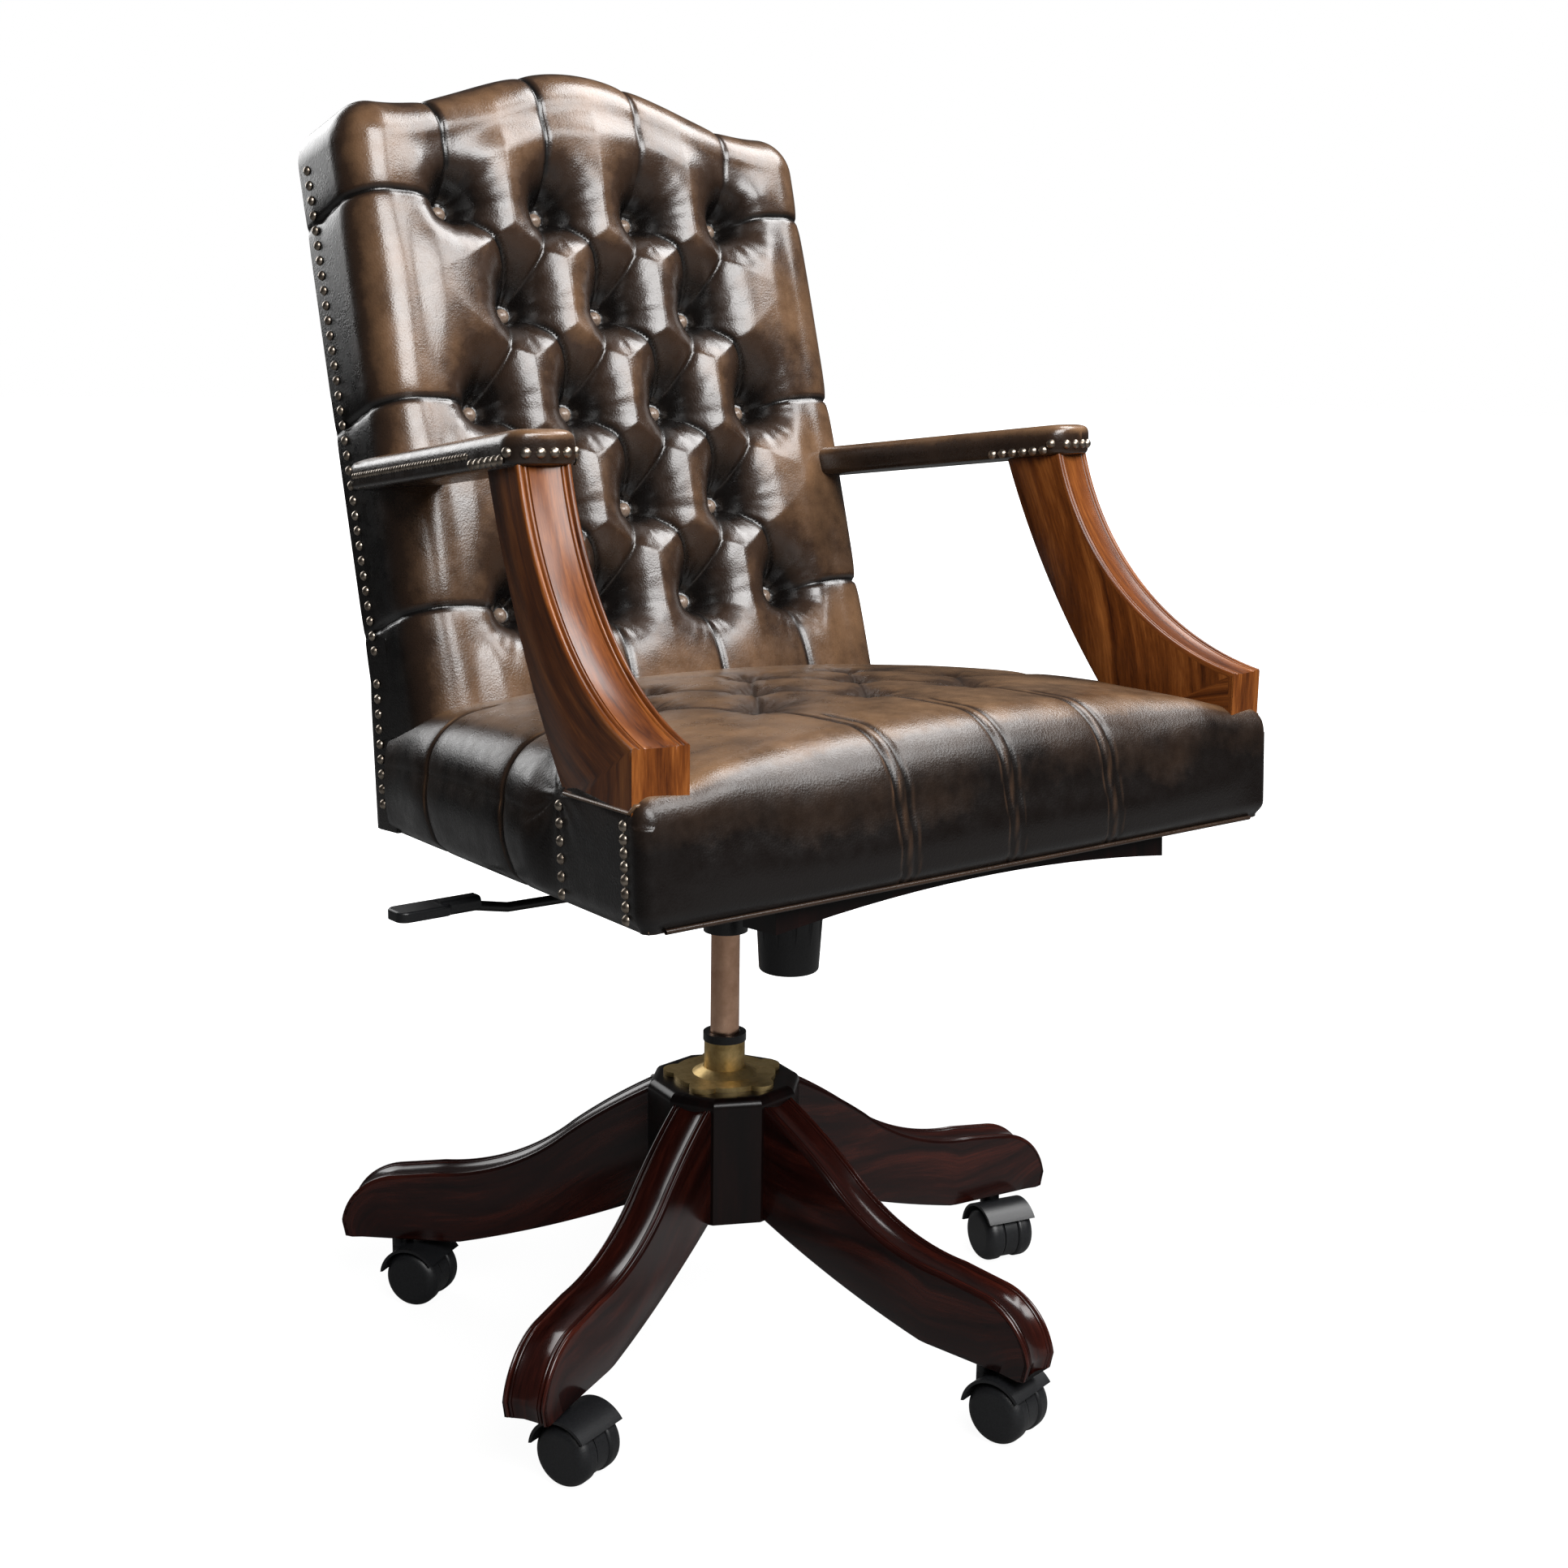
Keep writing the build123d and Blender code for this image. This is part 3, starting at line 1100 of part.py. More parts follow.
def seat_nail_places():
    """Two short upright rows on the seat's right side, under the foot of the arm."""
    top = FRAME_TOP - NAIL_DIAMETER
    for row, count in enumerate(SEAT_NAIL_ROWS):
        along = row * (FOOT_LENGTH - NAIL_DIAMETER / 2) + NAIL_DIAMETER / 2
        y = (ARM_FRONT - TILT_Y) / cos(radians(SEAT_PITCH)) + along
        for index in range(count):
            z = top - index * (FRAME_HEIGHT - 2 * NAIL_DIAMETER) / (count - 1)
            turn = Rot(0, 0, degrees(SPLAY_ANGLE)) * Rot(0, 90, 0)
            yield SEAT * Pos(seat_half_width(y), y, z) * turn


def pad_nail_places():
    """A row along each side of the right pad's front end."""
    width = ARM_THICKNESS + PAD_OVERHANG
    start = POST_TOP_FRONT - PAD_NOSE + ARM_THICKNESS / 3 + NAIL_DIAMETER / 2
    for index in range(int(POST_TOP_DEPTH / (NAIL_PITCH - 2)) + 1):
        along = start + index * (NAIL_PITCH - 2)
        height = pad_line(along, POST_TOP, PAD_REAR_BOTTOM) + NAIL_MARGIN
        yield ARM_PLANE.location * Pos(along, height, PAD_OVERHANG)
        yield ARM_PLANE.location * Pos(along, height, -width) * Rot(180, 0, 0)


def upholstery_nails():
    heads = []
    for places in (side_nail_places(), seat_nail_places(), pad_nail_places()):
        for place in places:
            head = place * nail()
            heads.append(head)
            heads.append(mirror(head, about=Plane.YZ))
    return heads


def build_base():
    save("base_hub", base_hub())
    wooden_leg = leg()
    for index in range(LEG_COUNT):
        save(f"base_leg_{index + 1}", Rot(0, 0, leg_angle(index)) * wooden_leg)
    turns = [Rot(0, 0, leg_angle(index)) for index in range(LEG_COUNT)]
    save_group("leg_dowels", [turn * dowel for turn in turns for dowel in dowels()])
    save_group("caster_sockets", [turn * caster_socket() for turn in turns])
    save("flange_plate", flange_plate())
    save_group("flange_screws", [place * flange_screw() for place in flange_screw_places()])


def build_column():
    save("column_sleeve", column_sleeve())
    save("guide_bush", guide_bush())
    save("thrust_bearing", thrust_bearing())
    save("piston_rod", piston_rod())
    save("pressure_tube", pressure_tube())
    save("release_button", release_button())


def build_casters():
    hood = caster_hood()
    pins = caster_pins()
    left = caster_wheel(-1)
    right = caster_wheel(1)
    for index in range(LEG_COUNT):
        place = caster_place(index)
        save(f"caster_hood_{index + 1}", place * hood)
        save_group(f"caster_pins_{index + 1}", [place * pin for pin in pins])
        save(f"caster_wheel_left_{index + 1}", place * left)
        save(f"caster_wheel_right_{index + 1}", place * right)


def build_mechanism():
    save("mech_housing", mech_housing())
    save("tilt_shaft", tilt_shaft())
    save("mech_seat_plate", seat_plate())
    save_group("plate_bolts", plate_bolts())
    save("tension_bolt", tension_bolt())
    save("tension_spring", tension_spring())
    save("tension_knob", tension_knob())
    save("lever_rod", lever_rod())
    save("lever_handle", lever_handle())


def build_upholstery():
    right_post = arm_post()
    right_pad = arm_pad()
    right_rail = arm_rail()
    posts = [right_post, mirror(right_post, about=Plane.YZ)]
    pads = [right_pad, mirror(right_pad, about=Plane.YZ)]
    rails = [right_rail, mirror(right_rail, about=Plane.YZ)]
    save("arm_post_right", posts[0])
    save("arm_post_left", posts[1])
    save("arm_pad_right", pads[0])
    save("arm_pad_left", pads[1])
    save_group("arm_rails", rails)
    save("seat_frame", seat_frame())
    save("seat_webbing", seat_webbing())
    save("dust_cover", dust_cover())
    save_group("seat_battens", seat_battens())
    save("seat_cushion", seat_cushion(posts))
    save("back_frame", back_frame())
    save("outside_back", outside_back())
    save("back_cushion", back_cushion(SEAT * plain_seat(), pads + rails))
    save_group("back_buttons", back_buttons())
    save_group("upholstery_nails", upholstery_nails())


os.makedirs("parts", exist_ok=True)
build_base()
build_column()
build_casters()
build_mechanism()
build_upholstery()
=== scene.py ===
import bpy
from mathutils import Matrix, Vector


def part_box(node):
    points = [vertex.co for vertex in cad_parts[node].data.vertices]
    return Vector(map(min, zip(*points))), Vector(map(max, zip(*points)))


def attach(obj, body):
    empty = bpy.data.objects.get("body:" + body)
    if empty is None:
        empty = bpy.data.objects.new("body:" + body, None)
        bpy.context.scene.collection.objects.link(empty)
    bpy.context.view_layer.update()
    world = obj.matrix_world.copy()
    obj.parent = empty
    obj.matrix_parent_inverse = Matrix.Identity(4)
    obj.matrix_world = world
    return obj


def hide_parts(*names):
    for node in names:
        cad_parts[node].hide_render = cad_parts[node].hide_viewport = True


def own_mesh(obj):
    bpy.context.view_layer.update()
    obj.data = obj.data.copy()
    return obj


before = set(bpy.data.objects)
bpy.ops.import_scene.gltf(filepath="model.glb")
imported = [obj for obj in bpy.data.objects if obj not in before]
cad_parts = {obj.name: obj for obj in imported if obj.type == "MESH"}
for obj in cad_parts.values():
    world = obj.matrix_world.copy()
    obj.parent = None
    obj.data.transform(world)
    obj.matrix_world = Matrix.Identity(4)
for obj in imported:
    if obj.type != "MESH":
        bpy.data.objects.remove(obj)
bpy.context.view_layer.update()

from math import atan, cos, hypot, pi, radians, sin, tan

import bmesh
import bpy
import numpy as np
from mathutils import Matrix, Vector

# Lengths are in metres. The chair faces -Y, and the seat and the back have frames of their own,
# as in the CAD model: the seat's on the tilt axis, the back's at the kink in its rear face.
SEAT_PITCH = radians(3.25)
RECLINE = radians(15.4)
TILT_AXIS = (0, -0.034, 0.408)
BACK_REAR = 0.1915
BACK_KINK = 0.176
SEAT = Matrix.Translation(TILT_AXIS) @ Matrix.Rotation(-SEAT_PITCH, 4, "X")
BACK = SEAT @ Matrix.Translation((0, BACK_REAR, BACK_KINK)) @ Matrix.Rotation(SEAT_PITCH - RECLINE, 4, "X")
SIDES = (("left", -1), ("right", 1))

BACK_DEPTH = 0.09
BACK_ROLL = 0.038
BACK_WRAP = -0.004
BACK_FOOT_HALF = 0.24
BACK_TOP_HALF = 0.233
BACK_MEAN_HALF = 0.2365
BACK_SKIRT = 0.06
BACK_FOOT = -0.034
BACK_CROWN = 0.006
BACK_FADE = 0.03
CORNER_HEIGHT = 0.453
HUMP_RISE = 0.041
HUMP_HALF = 0.195
OUTSIDE_BACK_DEPTH = 0.017
OUTSIDE_BACK_PUFF = 0.008
BUTTON_ROWS = 5
BUTTON_PITCH = 0.0936
BUTTON_ROW = 0.0843
BUTTON_TOP_ROW = 0.366
WELL_DEPTH = 0.0475
WELL_FLOOR = 0.008
WELL_SPREAD = 0.0165
SAME_ROW = 0.001

SEAT_RISE = 0.0425
FRAME_TOP = 0.1195
SEAT_FRONT = 0.289
SEAT_REAR = 0.168
SEAT_FRONT_HALF = 0.312
SEAT_MEAN_HALF = 0.28
SIDE_SPLAY = 0.154
SEAT_ROLL = 0.046
CORNER_ROLL = 0.02
SEAT_CORNER = 0.014
SEAT_EDGE_TOP = 0.155
CROWN_TOP = 0.1645
CROWN_MIDDLE = -0.06
CROWN_SPREAD = 4.68
SEAT_TUFT_ROWS = 3
SEAT_TUFT_PITCH = 0.105
SEAT_TUFT_ROW = 0.074
SEAT_TUFT_FRONT = -0.15

ARM_FRONT = (0.309, -0.303)
ARM_THICKNESS = 0.041
FOOT_TOP = 0.586
FOOT_LENGTH = 0.101
FOOT_SINK = 0.005
POST_SINK = 0.003
POST_FRONT_SAG = 0.034
POST_REAR_SAG = -0.011
POST_TOP_FRONT = 0.176
POST_TOP_DEPTH = 0.054
PAD_OVERHANG = 0.007
PAD_NOSE = 0.17
PAD_REACH = 0.49
PAD_END = 0.5
NOSE_LENGTH = 0.022
NOSE_POWER = 2.6
PAD_TOP = (0.777, 0.742)
PAD_BOTTOM = (0.75, 0.715)
PAD_BELLY = 0.013
NOSE_NAILS = 6
NAIL_RADIUS = 0.004
NAIL_HEIGHT = 0.003
BEAD_START = 0.25
BEAD_PITCH = 0.0058
BEAD_RADIUS = 0.0027
BEAD_HEIGHT = 0.0022
SPLAY_ANGLE = atan(SIDE_SPLAY)

LEG_COUNT = 5
FIRST_LEG_ANGLE = -153.0
LEG_WIDTH = 0.036
LEG_UNDERSIDE = 0.059
HUB_RADIUS = 0.063
TOE_RADIUS = 0.338
LEG_ROOT = 0.153
HUB_RISE = 0.051
TOE_FLAT = 0.044

SPRING_WIRE = 0.005
SPRING_TURNS = 6

# The camera was fitted to the photograph: its place, and its focal length in the picture's pixels.
CAMERA_PLACE = (-1.0249, -1.3262, 0.819)
FOCAL_PIXELS = 2516.4
PHOTO_PIXELS = 1932
SENSOR = 36
FLOOR_HALF = 40.0
FLOOR_GLOW = 1.9
AMBIENT = 0.05


# Small helpers

def smooth(low, high, value):
    share = np.clip((value - low) / (high - low), 0, 1)
    return share * share * (3 - 2 * share)


def place(points, matrix):
    """Points of any array shape (..., 3), moved by a matrix."""
    turn = np.array(matrix.to_3x3())
    return points @ turn.T + np.array(matrix.translation)


def mesh_piece(name, points, faces, material, body, uv=None, values=None):
    """A smooth-shaded mesh that rides on a body, with point values for its material."""
    mesh = bpy.data.meshes.new(name)
    mesh.from_pydata([tuple(point) for point in points], [], faces)
    mesh.polygons.foreach_set("use_smooth", [True] * len(mesh.polygons))
    for key, data in (values or {}).items():
        layer = mesh.attributes.new(key, "FLOAT", "POINT")
        layer.data.foreach_set("value", np.asarray(data, np.float32))
    if uv is not None:
        layer = mesh.uv_layers.new(name="UVMap")
        loops = np.zeros(len(mesh.loops), np.int32)
        mesh.loops.foreach_get("vertex_index", loops)
        layer.data.foreach_set("uv", np.asarray(uv, np.float32)[loops].ravel())
    mesh.materials.append(material)
    piece = bpy.data.objects.new(name, mesh)
    bpy.context.scene.collection.objects.link(piece)
    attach(piece, body)
    return piece


def grid_faces(rows, columns, ring=False):
    """Quads of a grid whose normals follow columns crossed with rows."""
    faces = []
    last = columns if ring else columns - 1
    for row in range(rows - 1):
        for column in range(last):
            after = (column + 1) % columns
            low = row * columns
            faces.append((low + column, low + after, low + columns + after, low + columns + column))
    return faces


def closed_faces(rows, columns):
    """Quads round a closed tube of rings, with a face over each end."""
    faces = grid_faces(rows, columns, ring=True)
    faces.append(tuple(reversed(range(columns))))
    faces.append(tuple((rows - 1) * columns + column for column in range(columns)))
    return faces


def edge_steps(flat, radius, wall, counts):
    """Lengths along a sheet from its middle: a flat stretch, a rolled edge and a wall."""
    roll = flat + np.linspace(0, radius * pi / 2, counts[1] + 1)[1:]
    side = flat + radius * pi / 2 + np.linspace(0, wall, counts[2] + 1)[1:]
    return np.concatenate([np.linspace(0, flat, counts[0]), roll, side])


def both_ways(steps):
    return np.concatenate([-steps[:0:-1], steps])


def rolled(length, flat, radius):
    """The turn round a rolled edge, in radians, and the straight run beyond it."""
    turn = np.clip((length - flat) / radius, 0, pi / 2)
    beyond = np.maximum(length - flat - radius * pi / 2, 0)
    return turn, beyond


def tightened(reach, full, roll):
    """A rolled edge's sine, from 0 to 1 over the full roll, squeezed into a smaller roll at its end."""
    return np.clip((reach * full - full + roll) / roll, 0, 1)


def soft_corner(first, second):
    """Two reaches from 0 to 1, drawn in so that their corner is round."""
    return first * np.sqrt(1 - second**2 / 2), second * np.sqrt(1 - first**2 / 2)


def sheet_faces(rows, columns, side_beyond, end_beyond):
    """Quads of a sheet without the folded-up corners where two of its walls meet."""
    both = ((side_beyond > 1e-6) & (end_beyond > 1e-6)).ravel()
    return [face for face in grid_faces(rows, columns) if not all(both[index] for index in face)]


def weld(piece):
    """Joins the vertices that lie on each other, and drops the loose ones."""
    bm = bmesh.new()
    bm.from_mesh(piece.data)
    bmesh.ops.delete(bm, geom=[vert for vert in bm.verts if not vert.link_faces], context="VERTS")
    bmesh.ops.remove_doubles(bm, verts=bm.verts, dist=2e-5)
    bm.to_mesh(piece.data)
    bm.free()
    piece.data.polygons.foreach_set("use_smooth", [True] * len(piece.data.polygons))


def outward(piece):
    """Turns a closed mesh's faces outwards."""
    mesh = piece.data
    volume = sum(mesh.vertices[face.vertices[0]].co.dot(face.normal) * face.area for face in mesh.polygons)
    if volume < 0:
        mesh.flip_normals()


def tube(name, spine, radius, material, wear_and_shade, body="seat"):
    """A round cord along a line of points."""
    count = 8
    points = []
    for index, spot in enumerate(spine):
        run = (spine[min(index + 1, len(spine) - 1)] - spine[max(index - 1, 0)]).normalized()
        across = run.cross(Vector((0, 0, 1))).normalized()
        up = across.cross(run)
        for step in range(count):
            angle = 2 * pi * step / count
            points.append(tuple(spot + (across * cos(angle) + up * sin(angle)) * radius))
    values = {"wear_and_shade": wear_and_shade * np.ones(len(points))}
    faces = grid_faces(len(spine), count, ring=True)
    piece = mesh_piece(name, points, faces, material, body, values=values)
    outward(piece)
    return piece


def to_curve(points, start, end):
    """Distance of points to a segment, and the share along it of the nearest spot."""
    run = np.subtract(end, start)
    share = np.clip(((points - start) @ run) / (run @ run), 0, 1)
    near = np.asarray(start) + share[..., None] * run
    return np.linalg.norm(points - near, axis=-1), share


def to_bent_line(points, start, middle, end, pieces=6):
    """Distance of points to a curve bent towards a middle point, and the share along it."""
    steps = np.linspace(0, 1, pieces + 1)[:, None]
    bent = (1 - steps) ** 2 * start + 2 * steps * (1 - steps) * middle + steps**2 * end
    best = np.full(points.shape[:-1], 9.0)
    along = np.zeros(points.shape[:-1])
    for index in range(pieces):
        distance, share = to_curve(points, bent[index], bent[index + 1])
        nearer = distance < best
        best = np.where(nearer, distance, best)
        along = np.where(nearer, (index + share) / pieces, along)
    return best, along


# Materials

def shader(name, rough, metallic=0.0, coat=0.0, coat_rough=0.1, specular=0.5):
    """A material with a principled shader, and its node tree."""
    material = bpy.data.materials.new(name)
    material.use_nodes = True
    tree = material.node_tree
    skin = tree.nodes["Principled BSDF"]
    skin.inputs["Roughness"].default_value = rough
    skin.inputs["Metallic"].default_value = metallic
    skin.inputs["Coat Weight"].default_value = coat
    skin.inputs["Coat Roughness"].default_value = coat_rough
    skin.inputs["Specular IOR Level"].default_value = specular
    return material, tree, skin


def node(tree, kind, **values):
    made = tree.nodes.new(kind)
    for key, value in values.items():
        if key in made.inputs:
            made.inputs[key].default_value = value
        else:
            setattr(made, key, value)
    return made


def ramp(tree, factor, stops):
    made = tree.nodes.new("ShaderNodeValToRGB")
    elements = made.color_ramp.elements
    for index, (spot, colour) in enumerate(stops):
        element = elements[index] if index < 2 else elements.new(spot)
        element.position = spot
        element.color = (*colour, 1)
    tree.links.new(factor, made.inputs["Fac"])
    return made.outputs["Color"]


def maths(tree, operation, first, second):
    made = tree.nodes.new("ShaderNodeMath")
    made.operation = operation
    for socket, value in zip(made.inputs, (first, second)):
        if isinstance(value, (int, float)):
            socket.default_value = value
        else:
            tree.links.new(value, socket)
    return made.outputs["Value"]


def remap(tree, value, source, target):
    made = node(tree, "ShaderNodeMapRange")
    for name, edge in zip(("From Min", "From Max", "To Min", "To Max"), (*source, *target)):
        made.inputs[name].default_value = edge
    tree.links.new(value, made.inputs["Value"])
    return made.outputs["Result"]


def texture(tree, vector, kind="Noise", **values):
    """A procedural texture laid out by a vector."""
    made = node(tree, f"ShaderNodeTex{kind}", **values)
    tree.links.new(vector, made.inputs["Vector"])
    return made


def swing(tree, value, size):
    """A noise, which lies about 0.5, turned into a swing about 0."""
    return maths(tree, "MULTIPLY", maths(tree, "SUBTRACT", value, 0.5), size)


def bump(tree, skin, height, distance, strength=1.0):
    made = node(tree, "ShaderNodeBump", Strength=strength, Distance=distance)
    tree.links.new(height, made.inputs["Height"])
    tree.links.new(made.outputs["Normal"], skin.inputs["Normal"])


def leather(name, dark, brown, tan, rough, coat):
    """Hand-antiqued leather, dark where its point value is low and tan where it is high: low values paint
    shade into its creases, wells and turned edges, on top of the antiquing's dark dye there, and the crowns
    are worn to tan; with a fine grain.
    """
    material, tree, skin = shader(name, rough, coat=coat, coat_rough=0.2, specular=0.35 + coat / 2)
    place_in = node(tree, "ShaderNodeTexCoord").outputs["Object"]
    wear_and_shade = node(tree, "ShaderNodeAttribute", attribute_name="wear_and_shade").outputs["Fac"]
    mottle = texture(tree, place_in, Scale=14.0, Detail=5.0, Roughness=0.6)
    streak = texture(tree, place_in, Scale=60.0, Detail=4.0, Roughness=0.65)
    grain = texture(tree, place_in, "Voronoi", Scale=620.0)
    crinkle = texture(tree, place_in, Scale=260.0, Detail=4.0)
    patch = swing(tree, mottle.outputs["Fac"], 0.7)
    fleck = swing(tree, streak.outputs["Fac"], 0.22)
    tone = maths(tree, "ADD", maths(tree, "ADD", wear_and_shade, patch), fleck)
    colour = ramp(tree, tone, [(0.12, dark), (1.05, tan), (0.62, brown)])
    tree.links.new(colour, skin.inputs["Base Color"])
    shine = remap(tree, streak.outputs["Fac"], (0.3, 0.7), (rough - 0.06, rough + 0.1))
    tree.links.new(shine, skin.inputs["Roughness"])
    wrinkle = maths(tree, "MULTIPLY", crinkle.outputs["Fac"], 1.2)
    relief = maths(tree, "ADD", grain.outputs["Distance"], wrinkle)
    bump(tree, skin, relief, 0.00035, 0.3)
    return material


def wood(name, dark, mid, light, rough, coat):
    """Polished wood whose grain runs along the piece's first texture coordinate."""
    material, tree, skin = shader(name, rough, coat=coat, coat_rough=0.15, specular=0.3)
    place_in = node(tree, "ShaderNodeTexCoord").outputs["UV"]
    stretch = node(tree, "ShaderNodeMapping", Scale=(5.0, 60.0, 1.0))
    tree.links.new(place_in, stretch.inputs["Vector"])
    laid = stretch.outputs["Vector"]
    bands = texture(tree, laid, Scale=1.0, Detail=6.0, Roughness=0.6, Distortion=0.6)
    pores = texture(tree, laid, Scale=9.0, Detail=3.0, Roughness=0.7)
    fleck = swing(tree, pores.outputs["Fac"], 0.35)
    tone = maths(tree, "ADD", bands.outputs["Fac"], fleck)
    tree.links.new(ramp(tree, tone, [(0.3, dark), (0.72, light), (0.5, mid)]), skin.inputs["Base Color"])
    bump(tree, skin, pores.outputs["Fac"], 0.0002, 0.25)
    return material


def solid_wood(name, dark, mid, light, rough):
    """Polished wood for carried-over solids, with its grain along Z."""
    material, tree, skin = shader(name, rough, specular=0.3)
    place_in = node(tree, "ShaderNodeTexCoord").outputs["Object"]
    stretch = node(tree, "ShaderNodeMapping", Scale=(60.0, 60.0, 6.0))
    tree.links.new(place_in, stretch.inputs["Vector"])
    laid = stretch.outputs["Vector"]
    bands = texture(tree, laid, Scale=1.0, Detail=6.0, Roughness=0.6, Distortion=0.6)
    colour = ramp(tree, bands.outputs["Fac"], [(0.3, dark), (0.72, light), (0.5, mid)])
    tree.links.new(colour, skin.inputs["Base Color"])
    bump(tree, skin, bands.outputs["Fac"], 0.0002, 0.2)
    return material


def metal(name, deep, bright, rough, scale):
    """Metal with a mottled patina and uneven polish."""
    material, tree, skin = shader(name, rough, metallic=1.0)
    place_in = node(tree, "ShaderNodeTexCoord").outputs["Object"]
    patina = texture(tree, place_in, Scale=scale, Detail=5.0, Roughness=0.65)
    colour = ramp(tree, patina.outputs["Fac"], [(0.32, deep), (0.68, bright)])
    tree.links.new(colour, skin.inputs["Base Color"])
    polish = remap(tree, patina.outputs["Fac"], (0.3, 0.7), (rough + 0.12, rough - 0.05))
    tree.links.new(polish, skin.inputs["Roughness"])
    return material


def plastic(name, colour, paler, rough, scale, depth):
    """Moulded plastic, paint or cloth with a fine textured skin."""
    material, tree, skin = shader(name, rough)
    place_in = node(tree, "ShaderNodeTexCoord").outputs["Object"]
    skin_grain = texture(tree, place_in, Scale=scale, Detail=3.0, Roughness=0.6)
    tone = ramp(tree, skin_grain.outputs["Fac"], [(0.3, colour), (0.8, paler)])
    tree.links.new(tone, skin.inputs["Base Color"])
    bump(tree, skin, skin_grain.outputs["Fac"], depth, 0.4)
    return material


back_leather = leather(
    "back_leather", (0.004, 0.003, 0.0026), (0.032, 0.017, 0.01), (0.17, 0.092, 0.046), 0.26, 0.32)
seat_leather = leather(
    "seat_leather", (0.005, 0.0035, 0.003), (0.036, 0.02, 0.012), (0.18, 0.1, 0.05), 0.3, 0.06)
arm_wood = wood("arm_wood", (0.03, 0.006, 0.0015), (0.13, 0.035, 0.006), (0.3, 0.1, 0.022), 0.3, 0.06)
leg_wood = wood("leg_wood", (0.004, 0.0008, 0.0006), (0.016, 0.003, 0.002), (0.05, 0.009, 0.005), 0.2, 0.3)
hub_wood = solid_wood(
    "hub_wood", (0.0015, 0.0006, 0.0005), (0.004, 0.0012, 0.001), (0.01, 0.0025, 0.0018), 0.3)
frame_wood = solid_wood("frame_wood", (0.16, 0.09, 0.05), (0.3, 0.19, 0.1), (0.42, 0.29, 0.17), 0.6)
brass = metal("antique_brass", (0.34, 0.23, 0.085), (0.8, 0.6, 0.28), 0.45, 45.0)
nail_brass = metal("nail_brass", (0.15, 0.115, 0.09), (0.52, 0.45, 0.37), 0.3, 120.0)
copper = metal("copper_finish", (0.58, 0.32, 0.2), (0.86, 0.55, 0.38), 0.3, 30.0)
steel = metal("steel", (0.4, 0.4, 0.41), (0.66, 0.66, 0.67), 0.3, 60.0)
button_leather = plastic("button_leather", (0.12, 0.08, 0.058), (0.24, 0.175, 0.13), 0.22, 300.0, 0.0001)
black_plastic = plastic("black_plastic", (0.004, 0.004, 0.005), (0.011, 0.012, 0.013), 0.4, 700.0, 0.0002)
black_metal = plastic("black_metal", (0.009, 0.009, 0.009), (0.022, 0.022, 0.022), 0.35, 500.0, 0.0001)
black_cloth = plastic("black_cloth", (0.008, 0.008, 0.008), (0.024, 0.023, 0.022), 0.85, 900.0, 0.0005)


# Back: one leather sheet over the front, the rolled edges and the sides

def back_half(height):
    share = (height - BACK_FOOT) / (CORNER_HEIGHT - BACK_FOOT)
    return BACK_FOOT_HALF + (BACK_TOP_HALF - BACK_FOOT_HALF) * share


def back_top(x):
    """Height of the camel-backed top edge."""
    return CORNER_HEIGHT + HUMP_RISE * 0.5 * (1 + np.cos(pi * np.minimum(np.abs(x), HUMP_HALF) / HUMP_HALF))


def button_places():
    for row in range(BUTTON_ROWS):
        count = 4 if row % 2 == 0 else 3
        for index in range(count):
            yield np.array(((index - (count - 1) / 2) * BUTTON_PITCH, BUTTON_TOP_ROW - row * BUTTON_ROW))


def back_folds():
    """Folds as (start, middle, end, depth, width, crispness), on the sheet laid flat."""
    overlapped_bow = np.array((0.026, 0.016))
    plain_bow = np.array((0.006, 0))
    diamond = (0.011, 0.012)
    to_top = (0.0022, 0.008)
    to_foot = (0.003, 0.008)
    to_side = (0.0026, 0.008)
    buttons = list(button_places())
    last = BUTTON_TOP_ROW - (BUTTON_ROWS - 1) * BUTTON_ROW
    for upper in buttons:
        for lower in buttons:
            run = lower - upper
            if abs(run[0]) < BUTTON_PITCH and abs(run[1] + BUTTON_ROW) < SAME_ROW:
                bow, crisp = (overlapped_bow, 1.0) if run[0] > 0 else (plain_bow, 0.35)
                yield upper, (upper + lower) / 2 + bow, lower, *diamond, crisp
    for button in buttons:
        x, height = button
        if abs(height - BUTTON_TOP_ROW) < SAME_ROW:
            end = np.array((x * 1.14, 0.62))
            yield button, (button + end) / 2, end, *to_top, 1.0 if x < 0 else 0.5
        if abs(height - last) < SAME_ROW:
            end = np.array((x * 1.05, -0.1))
            yield button, (button + end) / 2, end, *to_foot, 0.7
        if abs(x) > 1.4 * BUTTON_PITCH:
            end = np.array((np.sign(x) * 0.32, height - 0.004))
            middle = np.array((np.sign(x) * 0.21, height + 0.014))
            yield button, middle, end, *to_side, 1.0


def radial_wrinkles(flat, centre, reach, height, count, phase):
    """Fine pleats that fan out from a point where the leather is drawn in."""
    away = flat - centre
    distance = np.linalg.norm(away, axis=-1)
    angle = np.arctan2(away[..., 1], away[..., 0])
    fan = np.cos(count * angle + phase) + 0.6 * np.cos((2 * count + 3) * angle + 2.3 * phase)
    return height * fan * smooth(0.004, 0.012, distance) * np.exp(-((distance / reach) ** 2))


